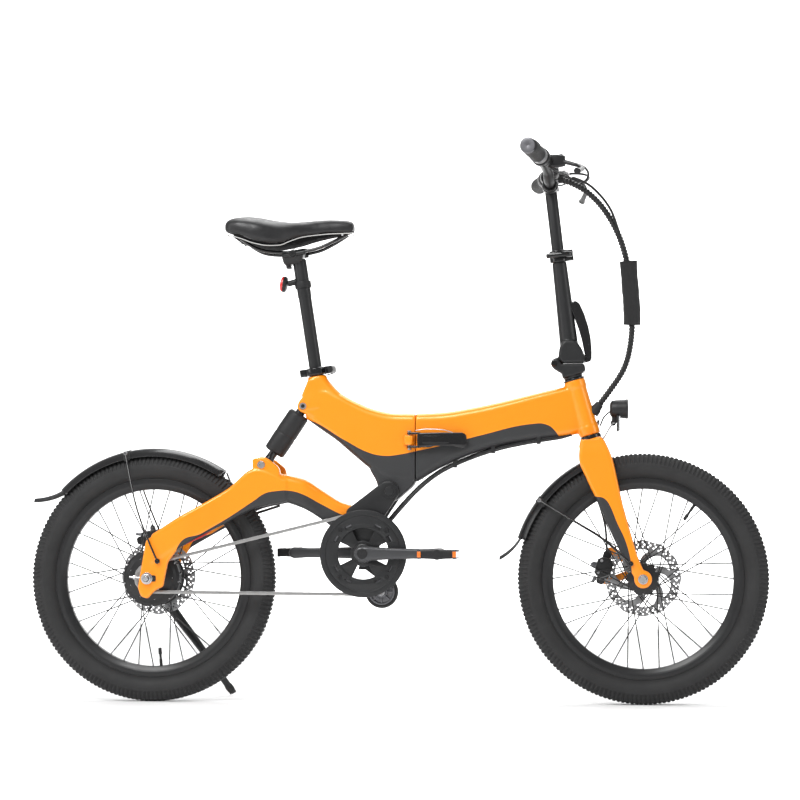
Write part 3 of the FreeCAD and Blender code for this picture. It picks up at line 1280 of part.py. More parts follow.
def make_harness():
    radius = D["harness_radius"].value
    spans = (("harness_upper", HARNESS[:3] + [(445, -10, 1020)]),
             ("harness_middle", [(445.5, -9.9, 1019.2)] + HARNESS[3:9] + [(469, 0, 681.5)]),
             ("harness_lower", [(468.5, 0, 680.7)] + HARNESS[9:]))
    for label, points in spans:
        feature(label, tube(points, radius, label))


def make_hoses():
    radius = D["hose_radius"].value
    feature("frame_cables", tube(
        [(356, -6, 543), (318, -8, 541), (262, -8, 530), (206, -8, 516), (150, -8, 494), (98, -8, 471),
         (62, -8, 447), (30, -16, 428), (8, -20, 408)], radius, "frame_cables"))
    feature("swingarm_hose", tube(
        [(-250, 24, 412), (-300, 30, 396), (-350, 36, 384), (-400, 44, 377), (-448, 47, 364), (-484, 46, 346)],
        radius, "swingarm_hose"))


# ---------------------------------------------------------------- build

def build():
    for name, axle in (("front", FRONT_AXLE), ("rear", REAR_AXLE)):
        make_tyre(name + "_tyre", axle)
        make_rim(name + "_rim", axle)
    make_spokes("front_spokes", FRONT_AXLE, 31, 23, -32, 62)
    make_spokes("rear_spokes", REAR_AXLE, 58, 27, -27, 22)
    make_rotor("front_rotor", FRONT_AXLE, D["front_rotor_offset"])
    make_rotor("rear_rotor", REAR_AXLE, D["rear_rotor_offset"])
    make_front_hub()
    make_motor()
    rear_axle = make_axles()
    make_chainring()
    make_freewheel()
    make_chain()
    make_crank_arm("crank_arm_right", -1)
    make_crank_arm("crank_arm_left", 1)
    make_pedal("pedal_right", -1)
    make_pedal("pedal_left", 1)
    make_bottom_bracket(make_caster())
    make_rear_frame()
    make_front_frame()
    make_frame_fittings()
    make_swingarm()
    group("swingarm_bolts", [rear_axle, make_shock()])
    make_caliper("rear_caliper", (-529.6, 50, 342.7), -10)
    make_caliper("front_caliper", (434, 41, 282), -75)
    make_mudguard("rear_mudguard", REAR_AXLE, 56, 84, [(-573, 29, 527), (-521, 82.5, 358), (-492, 83, 296)])
    make_mudguard("front_mudguard", FRONT_AXLE, 112, 60, [(300, 29, 424), (440, 66, 340), (490, 67, 292)])
    make_kickstand()
    make_fork(make_headlight())
    make_handlepost()
    make_post_latch()
    make_frame_latch()
    make_bar()
    make_controls()
    make_seat()
    make_harness()
    make_hoses()
    document.recompute()


def export():
    for item in document.Objects:
        if "Invalid" in item.State or "Error" in item.State:
            raise RuntimeError(f"{item.Name} failed: {item.State}")
    os.makedirs("parts", exist_ok=True)
    for item in finished:
        if item.Shape.isNull() or not item.Shape.isValid():
            raise RuntimeError(f"{item.Label} has no valid shape")
        item.Shape.exportStep(f"parts/{item.Label}.step")
    print(len(finished), "sub-parts")


build()
export()
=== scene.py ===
import json
import math

import bmesh
import bpy
import numpy as np
from mathutils import Matrix, Vector


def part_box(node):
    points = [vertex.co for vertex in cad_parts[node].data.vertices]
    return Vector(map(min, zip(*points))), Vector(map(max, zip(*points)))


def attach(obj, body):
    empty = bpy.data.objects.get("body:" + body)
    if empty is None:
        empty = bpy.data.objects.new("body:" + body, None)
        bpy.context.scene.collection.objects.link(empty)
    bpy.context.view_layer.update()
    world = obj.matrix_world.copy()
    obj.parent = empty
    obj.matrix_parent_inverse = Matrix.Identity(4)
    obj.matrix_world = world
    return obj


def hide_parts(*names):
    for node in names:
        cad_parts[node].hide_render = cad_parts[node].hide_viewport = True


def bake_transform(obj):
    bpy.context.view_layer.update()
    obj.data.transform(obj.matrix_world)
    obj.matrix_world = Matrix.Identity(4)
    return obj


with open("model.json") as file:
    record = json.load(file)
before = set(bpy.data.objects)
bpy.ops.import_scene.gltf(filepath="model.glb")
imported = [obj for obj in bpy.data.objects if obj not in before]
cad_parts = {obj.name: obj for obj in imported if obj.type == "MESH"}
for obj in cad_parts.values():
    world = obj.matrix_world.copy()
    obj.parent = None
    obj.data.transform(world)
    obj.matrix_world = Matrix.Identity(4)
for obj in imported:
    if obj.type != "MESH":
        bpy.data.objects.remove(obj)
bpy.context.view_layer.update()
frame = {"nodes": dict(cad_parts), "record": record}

# Folding electric bicycle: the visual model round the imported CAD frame.
# X forward, Y to the rider's left, Z up. Shapes below are in millimetres and become metres in scaled_object().

MM = 0.001
joints = {item["name"]: item for item in frame["record"]["behaviour"]["joints"]}


def at_joint(name):
    return Vector(joints[name]["pos_m"]) / MM


def middle(node):
    low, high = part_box(node)
    return (Vector(low) + Vector(high)) / 2 / MM


FRONT = middle("front_rim")
REAR = middle("rear_rim")
CRANK = at_joint("crank_spin")
PIVOT = at_joint("swingarm_pivot")
SHOCK_TOP = at_joint("shock_swing")
POST_HINGE = at_joint("handlepost_fold")
CASTER = at_joint("caster_spin")
STAND = at_joint("kickstand_fold")
SHOCK_FOOT = Vector((-278, 0, 497))
HEAD = at_joint("steering")


# ---------------------------------------------------------------- camera, floor, light

def make_camera():
    data = bpy.data.cameras.new("camera")
    data.lens = 107
    data.sensor_width = 36
    camera = bpy.data.objects.new("camera", data)
    camera.location = (0.489, -4.976, 0.386)
    camera.rotation_euler = (math.radians(92.84), 0, math.radians(5.52))
    bpy.context.scene.collection.objects.link(camera)
    bpy.context.scene.camera = camera


def make_light(name, place, aim, size, power, height=None):
    data = bpy.data.lights.new(name, "AREA")
    data.shape = "RECTANGLE"
    data.size = size
    data.size_y = height or size
    data.energy = power
    light = bpy.data.objects.new(name, data)
    light.location = place
    light.rotation_euler = (Vector(aim) - Vector(place)).to_track_quat("-Z", "Y").to_euler()
    bpy.context.scene.collection.objects.link(light)


def make_studio():
    """A pale floor that curves up far behind, a big soft key above and side softboxes."""
    steps = 16
    rise = [(4.0 + 4 * math.sin(math.pi / 2 * k / steps), 4 - 4 * math.cos(math.pi / 2 * k / steps))
            for k in range(steps + 1)]
    line = [(-14.0, 0.0)] + rise + [(8.0, 12.0)]
    data = bpy.data.meshes.new("floor")
    points = [(x, y, z) for x in (-22.0, 22.0) for y, z in line]
    count = len(line)
    data.from_pydata(points, [], [(k, k + 1, k + 1 + count, k + count) for k in range(count - 1)])
    for polygon in data.polygons:
        polygon.use_smooth = True
    floor = bpy.data.objects.new("floor", data)
    bpy.context.scene.collection.objects.link(floor)
    paper = bpy.data.materials.new("paper")
    paper.use_nodes = True
    shader = paper.node_tree.nodes["Principled BSDF"]
    shader.inputs["Base Color"].default_value = (0.96, 0.96, 0.96, 1)
    shader.inputs["Roughness"].default_value = 0.75
    data.materials.append(paper)
    world = bpy.data.worlds.new("world")
    world.use_nodes = True
    world.node_tree.nodes["Background"].inputs["Color"].default_value = (1, 1, 1, 1)
    world.node_tree.nodes["Background"].inputs["Strength"].default_value = 0.36
    bpy.context.scene.world = world
    make_light("key", (-1.2, -3.0, 3.4), (0, 0, 0.5), 2.0, 150)
    make_light("side_left", (-3.4, -1.4, 1.5), (0, 0, 0.5), 1.4, 26, 2.2)
    make_light("side_right", (3.4, -1.2, 1.7), (0, 0, 0.5), 1.2, 24, 2.2)
    make_light("top", (0.2, 1.2, 3.6), (0, 0, 0.5), 2.4, 90)
    make_light("backdrop", (0, 3.6, 3.2), (0, 9.0, 2.6), 5.0, 520)


bpy.context.scene.view_settings.view_transform = "Standard"
make_camera()
make_studio()


# ---------------------------------------------------------------- meshes

def shade(data, smooth=True):
    data.polygons.foreach_set("use_smooth", [smooth] * len(data.polygons))


def scaled_object(name, data):
    """An object in the scene from mesh data in millimetres."""
    data.transform(Matrix.Scale(MM, 4))
    item = bpy.data.objects.new(name, data)
    bpy.context.scene.collection.objects.link(item)
    return item


def applied(item):
    """Make the modifiers of an object part of its mesh."""
    bpy.context.view_layer.update()
    depsgraph = bpy.context.evaluated_depsgraph_get()
    fresh = bpy.data.meshes.new_from_object(item.evaluated_get(depsgraph))
    old = item.data
    item.modifiers.clear()
    item.data = fresh
    bpy.data.meshes.remove(old)
    return item


def grid(points, around=True, along=False, caps=False):
    """Mesh data from an array of points (rows, columns, 3): rows may close, columns may close."""
    points = np.asarray(points, float)
    rows, columns = points.shape[:2]
    data = bpy.data.meshes.new("grid")
    last_row = rows if along else rows - 1
    last_column = columns if around else columns - 1
    faces = []
    for row in range(last_row):
        here, there = row * columns, (row + 1) % rows * columns
        for column in range(last_column):
            after = (column + 1) % columns
            faces.append((here + column, here + after, there + after, there + column))
    if caps:
        faces.append(tuple(range(columns))[::-1])
        faces.append(tuple(range((rows - 1) * columns, rows * columns)))
    data.from_pydata(points.reshape(-1, 3).tolist(), [], faces)
    return outward(data)


def outward(data):
    shell = bmesh.new()
    shell.from_mesh(data)
    bmesh.ops.remove_doubles(shell, verts=shell.verts, dist=0.0005)
    bmesh.ops.dissolve_degenerate(shell, dist=0.0001, edges=shell.edges)
    bmesh.ops.recalc_face_normals(shell, faces=shell.faces)
    shell.to_mesh(data)
    shell.free()
    shade(data)
    return data


def joined(parts):
    """One mesh from several; materials aren't kept."""
    shell = bmesh.new()
    for part in parts:
        shell.from_mesh(part)
    data = bpy.data.meshes.new("joined")
    shell.to_mesh(data)
    shell.free()
    return data


def moved(data, matrix):
    data.transform(matrix)
    if matrix.determinant() < 0:
        data.flip_normals()
    return data


def copied(data, matrix):
    return moved(data.copy(), matrix)


def shift(x=0, y=0, z=0):
    return Matrix.Translation((x, y, z))


def turn(degrees, axis):
    return Matrix.Rotation(math.radians(degrees), 4, axis)


def polar(radius, angle):
    return (radius * math.cos(angle), radius * math.sin(angle))


def frame_to(start, direction, up=(0, 0, 1)):
    """A matrix whose local Z points along a direction, from a start point."""
    z = Vector(direction).normalized()
    x = Vector(up).cross(z)
    if x.length < 1e-4:
        x = Vector((1, 0, 0))
    x.normalize()
    y = z.cross(x)
    matrix = Matrix((x, y, z)).transposed().to_4x4()
    matrix.translation = Vector(start)
    return matrix


def turned(profile, steps=64):
    """A closed outline (along, radius) turned about local Z."""
    angles = np.linspace(0, math.tau, steps, endpoint=False)
    rows = np.array([[(*polar(radius, a), along) for a in angles]
                     for along, radius in profile])
    return grid(rows, around=True, along=True)


def rounded(profile, size, steps=3):
    """A closed outline with its corners rounded."""
    result = []
    count = len(profile)
    for number in range(count):
        before, here, after = (Vector(profile[(number + k) % count]).to_2d() for k in (-1, 0, 1))
        first, second = before - here, after - here
        reach = min(size, first.length * 0.45, second.length * 0.45)
        start, end = here + first.normalized() * reach, here + second.normalized() * reach
        for step in range(steps + 1):
            t = step / steps
            point = start * (1 - t) ** 2 + here * 2 * t * (1 - t) + end * t ** 2
            result.append((point.x, point.y))
    return result


def hoop(low, high, inner, outer):
    """The outline of a plain ring to turn, or of a box, from its two sizes."""
    return [(low, inner), (low, outer), (high, outer), (high, inner)]


def spun(profile, place, size=0.8, steps=48):
    """A turned piece with eased corners about a placement's local Z."""
    return moved(turned(rounded(profile, size), steps), place)


def lathe(profile, start, direction, size=0.8, steps=64):
    """A turned piece with eased corners, placed along a direction."""
    return spun(profile, frame_to(start, direction), size, steps)


def drum(radius, low, high, start, direction, size=0.8, steps=48, hole=0.0):
    """A solid or pierced cylinder with eased edges."""
    if hole:
        return lathe(hoop(low, high, hole, radius), start, direction, size, steps)
    outline = rounded(hoop(low, high, -radius, radius), size)
    half = sorted([point for point in outline if point[1] >= 0],
                  key=lambda p: math.atan2(p[1], p[0] - (low + high) / 2))
    rows = [(high, 0.0)] + half + [(low, 0.0)]
    angles = np.linspace(0, math.tau, steps, endpoint=False)
    points = np.array([[(*polar(radius_, a), along) for a in angles] for along, radius_ in rows])
    return moved(grid(points), frame_to(start, direction))


def curve_mesh(curve):
    """The mesh a curve makes; the curve is removed."""
    holder = bpy.data.objects.new("curve", curve)
    bpy.context.scene.collection.objects.link(holder)
    bpy.context.view_layer.update()
    data = bpy.data.meshes.new_from_object(holder.evaluated_get(bpy.context.evaluated_depsgraph_get()))
    bpy.data.objects.remove(holder)
    bpy.data.curves.remove(curve)
    return data


def plate(outlines, low, high, bevel=0.8, matrix=None):
    """A flat piece from closed outlines in local X and Y (holes are inner outlines), with eased edges."""
    curve = bpy.data.curves.new("plate", "CURVE")
    curve.dimensions = "2D"
    curve.fill_mode = "BOTH"
    thickness = high - low
    bevel = min(bevel, thickness * 0.45)
    curve.extrude = max(thickness / 2 - bevel, 0.01)
    curve.bevel_depth = bevel
    curve.bevel_resolution = 2
    curve.offset = -bevel
    for outline in outlines:
        spline = curve.splines.new("POLY")
        spline.points.add(len(outline) - 1)
        for point, (x, y) in zip(spline.points, outline):
            point.co = (x, y, 0, 1)
        spline.use_cyclic_u = True
    data = curve_mesh(curve)
    data.materials.clear()
    shell = bmesh.new()
    shell.from_mesh(data)
    bmesh.ops.remove_doubles(shell, verts=shell.verts, dist=0.002)
    bmesh.ops.recalc_face_normals(shell, faces=shell.faces)
    shell.to_mesh(data)
    shell.free()
    data.transform(shift(z=(low + high) / 2))
    return moved(data, matrix) if matrix is not None else data


SIDE = turn(90, "X")  # local X, Y, Z become world X, Z, -Y


def side_plate(outlines, low, high, bevel=0.8, round_by=0.0):
    """A plate whose outlines are (x, z) and whose thickness runs from y = low to y = high."""
    if round_by:
        outlines = [rounded(outline, round_by, 4) for outline in outlines]
    return plate(outlines, -high, -low, bevel, SIDE)


def flat_plate(outlines, low, high, bevel=0.8, round_by=0.0):
    """A plate whose outlines are (x, y) and whose thickness runs from z = low to z = high."""
    if round_by:
        outlines = [rounded(outline, round_by, 4) for outline in outlines]
    return plate(outlines, low, high, bevel)


def circle(x, y, radius, steps=40):
    return [(x + radius * math.cos(math.tau * k / steps), y + radius * math.sin(math.tau * k / steps))
            for k in range(steps)]


def smooth_line(points, count):
    """Points along the NURBS line through the route, as the curve itself gives them."""
    curve = bpy.data.curves.new("line", "CURVE")
    curve.dimensions = "3D"
    spline = curve.splines.new("NURBS")
    spline.points.add(len(points) - 1)
    for point, place in zip(spline.points, points):
        point.co = (*place, 1)
    spline.order_u = 3
    spline.use_endpoint_u = True
    spline.resolution_u = max(4, count // max(len(points) - 1, 1))
    data = curve_mesh(curve)
    line = np.array([tuple(vertex.co) for vertex in data.vertices])
    bpy.data.meshes.remove(data)
    steps = np.linalg.norm(np.diff(line, axis=0), axis=1)
    line = line[np.concatenate([[True], steps > 1e-6])]
    distance = np.concatenate([[0], np.cumsum(np.linalg.norm(np.diff(line, axis=0), axis=1))])
    wanted = np.linspace(0, distance[-1], count)
    return np.stack([np.interp(wanted, distance, line[:, k]) for k in range(3)], axis=1), distance[-1]


def frames_along(line):
    """Two side directions along a line, with no twist."""
    tangent = np.gradient(line, axis=0)
    tangent /= np.linalg.norm(tangent, axis=1)[:, None]
    side = np.cross(tangent[0], (0, 0, 1) if abs(tangent[0][2]) < 0.9 else (0, 1, 0))
    sides = []
    for direction in tangent:
        side = side - direction * np.dot(side, direction)
        side /= np.linalg.norm(side)
        sides.append(side)
    sides = np.array(sides)
    return sides, np.cross(tangent, sides)


def pipe(points, radius, count=48, around=14, shape=None):
    """A closed tube along a smooth line; shape(t, angle, distance) scales its radius."""
    line, length = smooth_line(points, count)
    first, second = frames_along(line)
    angles = np.linspace(0, math.tau, around, endpoint=False)
    rows = []
    for number, place in enumerate(line):
        t = number / (count - 1)
        scale = [radius * (shape(t, a, t * length) if shape else 1) for a in angles]
        rows.append([place + first[number] * s * math.cos(a) + second[number] * s * math.sin(a)
                     for s, a in zip(scale, angles)])
    return grid(rows, caps=True)


def straight(start, end, radius, around=20, size=None):
    """A straight bar between two points."""
    start, end = Vector(start), Vector(end)
    return drum(radius, 0, (end - start).length, start, end - start, size or min(0.6, radius * 0.4), around)


def box_section(y0, z0, y1, z1, corner, steps=7):
    """Points round a rectangle with rounded corners, always the same number of them."""
    corner = min(corner, (y1 - y0) / 2 - 0.1, (z1 - z0) / 2 - 0.1)
    points = []
    for cx, cz, start in ((y1 - corner, z1 - corner, 0), (y0 + corner, z1 - corner, 90),
                          (y0 + corner, z0 + corner, 180), (y1 - corner, z0 + corner, 270)):
        for step in range(steps + 1):
            angle = math.radians(start + 90 * step / steps)
            points.append((cx + corner * math.cos(angle), cz + corner * math.sin(angle)))
    return points


def curve_through(keys, wanted):
    """Smooth values at wanted places, from rows (place, values...), never overshooting."""
    keys = np.array(sorted(keys), float)
    place, values = keys[:, 0], keys[:, 1:]
    slopes = np.zeros_like(values)
    secant = np.diff(values, axis=0) / np.diff(place)[:, None]
    slopes[0], slopes[-1] = secant[0], secant[-1]
    product = secant[:-1] * secant[1:]
    total = secant[:-1] + secant[1:]
    slopes[1:-1] = np.where(product > 0, 2 * product / np.where(total == 0, 1, total), 0)
    index = np.clip(np.searchsorted(place, wanted) - 1, 0, len(place) - 2)
    span = (place[index + 1] - place[index])[:, None]
    t = ((wanted - place[index])[:, None]) / span
    return ((1 + 2 * t) * (1 - t) ** 2 * values[index] + t * (1 - t) ** 2 * span * slopes[index]
            + t * t * (3 - 2 * t) * values[index + 1] + t * t * (t - 1) * span * slopes[index + 1])


def loft(axis, keys, count=40):
    """A smooth hull through rounded boxes (place, a0, b0, a1, b1, corner).

    Along X the box is in Y and Z; along Z it is in X and Y.
    """
    wanted = np.linspace(min(k[0] for k in keys), max(k[0] for k in keys), count)
    rows = []
    for place, values in zip(wanted, curve_through(keys, wanted)):
        section = box_section(*values)
        rows.append([(place, a, b) if axis == "X" else (a, b, place) for a, b in section])
    return grid(rows, caps=True)


def melt(name, parts, voxel=2.0, iterations=6):
    """One skin over several solids, with soft blends where they meet."""
    item = scaled_object(name, joined(parts))
    remesh = item.modifiers.new("skin", "REMESH")
    remesh.mode = "VOXEL"
    remesh.voxel_size = voxel * MM
    remesh.use_smooth_shade = True
    relax = item.modifiers.new("relax", "SMOOTH")
    relax.factor = 0.5
    relax.iterations = iterations
    return applied(item)


def piece(name, parts, material, body, replaces=(), sharp=35):
    """A finished piece of the object from mesh data, or from an object already made."""
    if isinstance(parts, bpy.types.Object):
        item = parts
        item.name = name
    else:
        item = scaled_object(name, joined(parts if isinstance(parts, (list, tuple)) else [parts]))
    shade(item.data)
    if sharp:
        item.data.set_sharp_from_angle(angle=math.radians(sharp))
    item.data.materials.clear()
    item.data.materials.append(material)
    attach(item, body)
    if replaces:
        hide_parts(*replaces)
    return item


# ---------------------------------------------------------------- materials

class Nodes:
    """A short way to write a node material."""

    def __init__(self, name):
        self.material = bpy.data.materials.new(name)
        self.material.use_nodes = True
        self.tree = self.material.node_tree
        self.shader = self.tree.nodes["Principled BSDF"]
        self.place = self.add("TexCoord").outputs["Object"]

    def add(self, kind, **settings):
        node = self.tree.nodes.new("ShaderNode" + kind)
        for key, value in settings.items():
            setattr(node, key, value)
        return node

    def link(self, source, target):
        self.tree.links.new(source, target)

    def feed(self, socket, value):
        if isinstance(value, bpy.types.NodeSocket):
            self.link(value, socket)
        else:
            socket.default_value = value

    def math(self, operation, first, second=0.0, clamp=False):
        node = self.add("Math", operation=operation, use_clamp=clamp)
        self.feed(node.inputs[0], first)
        self.feed(node.inputs[1], second)
        return node.outputs[0]

    def noise(self, scale, detail=3.0, stretch=None):
        node = self.add("TexNoise")
        node.inputs["Scale"].default_value = scale
        node.inputs["Detail"].default_value = detail
        source = self.place
        if stretch:
            mapping = self.add("Mapping")
            mapping.inputs["Scale"].default_value = stretch
            self.link(source, mapping.inputs["Vector"])
            source = mapping.outputs[0]
        self.link(source, node.inputs["Vector"])
        return node.outputs["Fac"]

    def cells(self, scale, feature="F1", output="Distance"):
        node = self.add("TexVoronoi", feature=feature)
        node.inputs["Scale"].default_value = scale
        self.link(self.place, node.inputs["Vector"])
        return node.outputs[output]

    def ramp(self, value, low, high, first=0.0, last=1.0):
        node = self.add("MapRange", interpolation_type="SMOOTHSTEP")
        for key, number in (("From Min", low), ("From Max", high), ("To Min", first), ("To Max", last)):
            node.inputs[key].default_value = number
        self.link(value, node.inputs["Value"])
        return node.outputs[0]

    def mix(self, factor, first, second):
        node = self.add("Mix", data_type="RGBA")
        self.feed(node.inputs[0], factor)
        self.feed(node.inputs[6], rgba(first))
        self.feed(node.inputs[7], rgba(second))
        return node.outputs[2]

    def axes(self):
        node = self.add("SeparateXYZ")
        self.link(self.place, node.inputs[0])
        return node.outputs

    def bump(self, height, strength, distance=0.0004):
        node = self.add("Bump")
        node.inputs["Strength"].default_value = strength
        node.inputs["Distance"].default_value = distance
        self.link(height, node.inputs["Height"])
        self.link(node.outputs[0], self.shader.inputs["Normal"])


def rgba(value):
    return (*value, 1.0) if isinstance(value, tuple) and len(value) == 3 else value


def scaled(color, factor):
    return tuple(min(channel * factor, 1.0) for channel in color)


def finish(name, color, rough=0.5, metal=0.0, coat=0.0, coat_rough=0.06, grain=700.0, grain_depth=0.15,
           mottle=0.1, specular=0.36, sheen=0.0, stretch=None):
    """A surface with colour variation, uneven gloss and fine grain."""
    nodes = Nodes(name)
    shader = nodes.shader
    cloud = nodes.noise(9.0, 4.0)
    tint = nodes.mix(cloud, scaled(color, 1 - mottle), scaled(color, 1 + mottle))
    nodes.link(tint, shader.inputs["Base Color"])
    uneven = nodes.math("MULTIPLY_ADD", nodes.noise(35.0, 5.0, stretch), 0.16)
    uneven.node.inputs[2].default_value = rough - 0.08
    nodes.link(uneven, shader.inputs["Roughness"])
    shader.inputs["Metallic"].default_value = metal
    shader.inputs["Coat Weight"].default_value = coat
    shader.inputs["Coat Roughness"].default_value = coat_rough
    shader.inputs["Specular IOR Level"].default_value = specular
    shader.inputs["Sheen Weight"].default_value = sheen
    if grain_depth:
        nodes.bump(nodes.noise(grain, 2.0, stretch), grain_depth)
    return nodes.material


ORANGE = (0.95, 0.262, 0.0)
PANEL = (0.023, 0.0235, 0.025)


def paint(name, line, above=True, black_boxes=()):
    """Pearl orange over satin black. The line is (x, z) in millimetres; orange lies above it or below it."""
    nodes = Nodes(name)
    shader = nodes.shader
    x, y, z = nodes.axes()
    low, high = line[0][0], line[-1][0]
    curve = nodes.add("FloatCurve")
    points = curve.mapping.curves[0].points
    while len(points) < len(line):
        points.new(0.5, 0.5)
    for point, (px, pz) in zip(points, line):
        point.location = ((px - low) / (high - low), pz / 1000)
        point.handle_type = "AUTO"
    curve.mapping.update()
    nodes.link(nodes.ramp(x, low * MM, high * MM), curve.inputs["Value"])
    curve.inputs["Value"].links[0].from_node.interpolation_type = "LINEAR"
    gap = nodes.math("SUBTRACT", z, curve.outputs[0])
    orange = nodes.ramp(gap, -0.0004, 0.0004, *((0.0, 1.0) if above else (1.0, 0.0)))
    for axis_low, axis_high in black_boxes:
        inside = None
        for output, a, b in zip((x, y, z), axis_low, axis_high):
            if a is None:
                continue
            part = nodes.math("MULTIPLY", nodes.ramp(output, (a - 0.4) * MM, (a + 0.4) * MM),
                              nodes.ramp(output, (b - 0.4) * MM, (b + 0.4) * MM, 1.0, 0.0))
            inside = part if inside is None else nodes.math("MULTIPLY", inside, part)
        orange = nodes.math("MULTIPLY", orange, nodes.math("SUBTRACT", 1.0, inside))
    pearl = nodes.mix(nodes.ramp(nodes.cells(2600.0), 0.1, 0.7), scaled(ORANGE, 0.94), (1.0, 0.3, 0.001))
    satin = nodes.mix(nodes.noise(14.0, 4.0), scaled(PANEL, 0.9), scaled(PANEL, 1.12))
    nodes.link(nodes.mix(orange, satin, pearl), shader.inputs["Base Color"])
    gloss = nodes.math("MULTIPLY_ADD", nodes.noise(30.0, 5.0), 0.08)
    gloss.node.inputs[2].default_value = 0.0
    base = nodes.ramp(orange, 0.0, 1.0, 0.42, 0.3)
    nodes.link(nodes.math("ADD", base, gloss), shader.inputs["Roughness"])
    nodes.link(nodes.ramp(orange, 0.0, 1.0, 0.0, 0.12), shader.inputs["Metallic"])
    nodes.link(nodes.ramp(orange, 0.0, 1.0, 0.02, 0.34), shader.inputs["Coat Weight"])
    shader.inputs["Coat Roughness"].default_value = 0.09
    lip = nodes.ramp(gap, -0.0006, 0.0006) if above else nodes.ramp(gap, -0.0006, 0.0006, 1.0, 0.0)
    fine = nodes.math("MULTIPLY_ADD", nodes.noise(1500.0, 1.0), 0.03)
    nodes.link(lip, fine.node.inputs[2])
    nodes.bump(fine, 0.25, 0.0003)
    return nodes.material


BLACK_ALLOY = finish("black_alloy", (0.012, 0.0122, 0.013), 0.36, 0.0, 0.12, 0.2, 900, 0.1, 0.12)
SATIN_TUBE = finish("satin_black_tube", (0.013, 0.0133, 0.0142), 0.4, 0.0, 0.08, 0.25, 1400, 0.12, 0.1)
GREY_ALLOY = finish("grey_alloy", (0.16, 0.16, 0.17), 0.3, 0.7, 0.1, 0.2, 900, 0.08, 0.1)
STEEL = finish("brushed_steel", (0.38, 0.38, 0.39), 0.34, 1.0, 0, 0.1, 900, 0.1, 0.08, stretch=(1, 1, 12))
ROTOR_STEEL = finish("rotor_steel", (0.3, 0.3, 0.305), 0.4, 1.0, 0, 0.1, 500, 0.12, 0.1)
SILVER = finish("silver_zinc", (0.55, 0.55, 0.56), 0.28, 1.0, 0, 0.1, 700, 0.08, 0.06)
CHAIN_STEEL = finish("chain_steel", (0.36, 0.355, 0.35), 0.36, 0.9, 0, 0.1, 600, 0.2, 0.2)
PLASTIC = finish("moulded_plastic", (0.013, 0.013, 0.0138), 0.44, 0, 0, 0.1, 1800, 0.35, 0.12)
GLOSS = finish("gloss_black", (0.007, 0.007, 0.0076), 0.16, 0, 0.5, 0.05, 900, 0.03, 0.1)
FENDER = finish("mudguard_plastic", (0.009, 0.009, 0.0096), 0.24, 0, 0.35, 0.12, 1200, 0.08, 0.12)
RUBBER = finish("black_rubber", (0.017, 0.017, 0.017), 0.6, 0, 0, 0.1, 1500, 0.45, 0.18)
CABLE = finish("cable_jacket", (0.01, 0.01, 0.0105), 0.38, 0, 0.1, 0.2, 1600, 0.15, 0.1)
RED_CABLE = finish("red_cable", (0.55, 0.02, 0.02), 0.4, 0, 0.1, 0.2, 1600, 0.1, 0.1)
FLAP = finish("grey_flap", (0.016, 0.016, 0.017), 0.5, 0, 0, 0.1, 1500, 0.2, 0.1)
ORANGE_PAINT = paint("orange_paint", [(-900, 0), (900, 0)])


def fabric(name, color, scale=1500.0, sheen=0.4):
    """A fine woven cloth."""
    nodes = Nodes(name)
    x, y, z = nodes.axes()
    warp = nodes.math("SINE", nodes.math("MULTIPLY", nodes.math("ADD", x, y), scale * 2.2))
    weft = nodes.math("SINE", nodes.math("MULTIPLY", z, scale * 2.2))
    weave = nodes.math("MULTIPLY", warp, weft)
    nodes.link(nodes.mix(nodes.ramp(weave, -1, 1), scaled(color, 0.75), scaled(color, 1.3)),
               nodes.shader.inputs["Base Color"])
    nodes.shader.inputs["Roughness"].default_value = 0.85
    nodes.shader.inputs["Sheen Weight"].default_value = sheen
    nodes.bump(weave, 0.5, 0.0003)
    return nodes.material


def tyre_rubber(name):
    """Tyre rubber with a cloudy tint, uneven gloss and fine grain."""
    nodes = Nodes(name)
    cloud = nodes.noise(22.0, 5.0)
    tint = nodes.mix(cloud, (0.022, 0.022, 0.0225), (0.036, 0.036, 0.0365))
    nodes.link(tint, nodes.shader.inputs["Base Color"])
    rough = nodes.math("MULTIPLY_ADD", nodes.noise(60.0, 4.0), 0.2)
    rough.node.inputs[2].default_value = 0.5
    nodes.link(rough, nodes.shader.inputs["Roughness"])
    nodes.shader.inputs["Specular IOR Level"].default_value = 0.2
    nodes.bump(nodes.noise(900.0, 3.0), 0.3, 0.0003)
    return nodes.material


def leather(name, color):
    """Soft vinyl with a pebbled grain and fine creases."""
    nodes = Nodes(name)
    pebbles = nodes.cells(1100.0, "SMOOTH_F1")
    creases = nodes.ramp(nodes.noise(90.0, 6.0), 0.45, 0.55)
    tint = nodes.mix(nodes.noise(12.0, 4.0), scaled(color, 0.88), scaled(color, 1.15))
    nodes.link(nodes.mix(nodes.ramp(pebbles, 0.0, 0.5, 0.35, 0.0), tint, scaled(color, 0.6)),
               nodes.shader.inputs["Base Color"])
    rough = nodes.math("MULTIPLY_ADD", creases, 0.08)
    rough.node.inputs[2].default_value = 0.33
    nodes.link(rough, nodes.shader.inputs["Roughness"])
    nodes.shader.inputs["Specular IOR Level"].default_value = 0.4
    height = nodes.math("MULTIPLY_ADD", creases, 0.25)
    nodes.link(nodes.math("MULTIPLY", pebbles, -1.0), height.node.inputs[2])
    nodes.bump(height, 0.35, 0.0003)
    return nodes.material


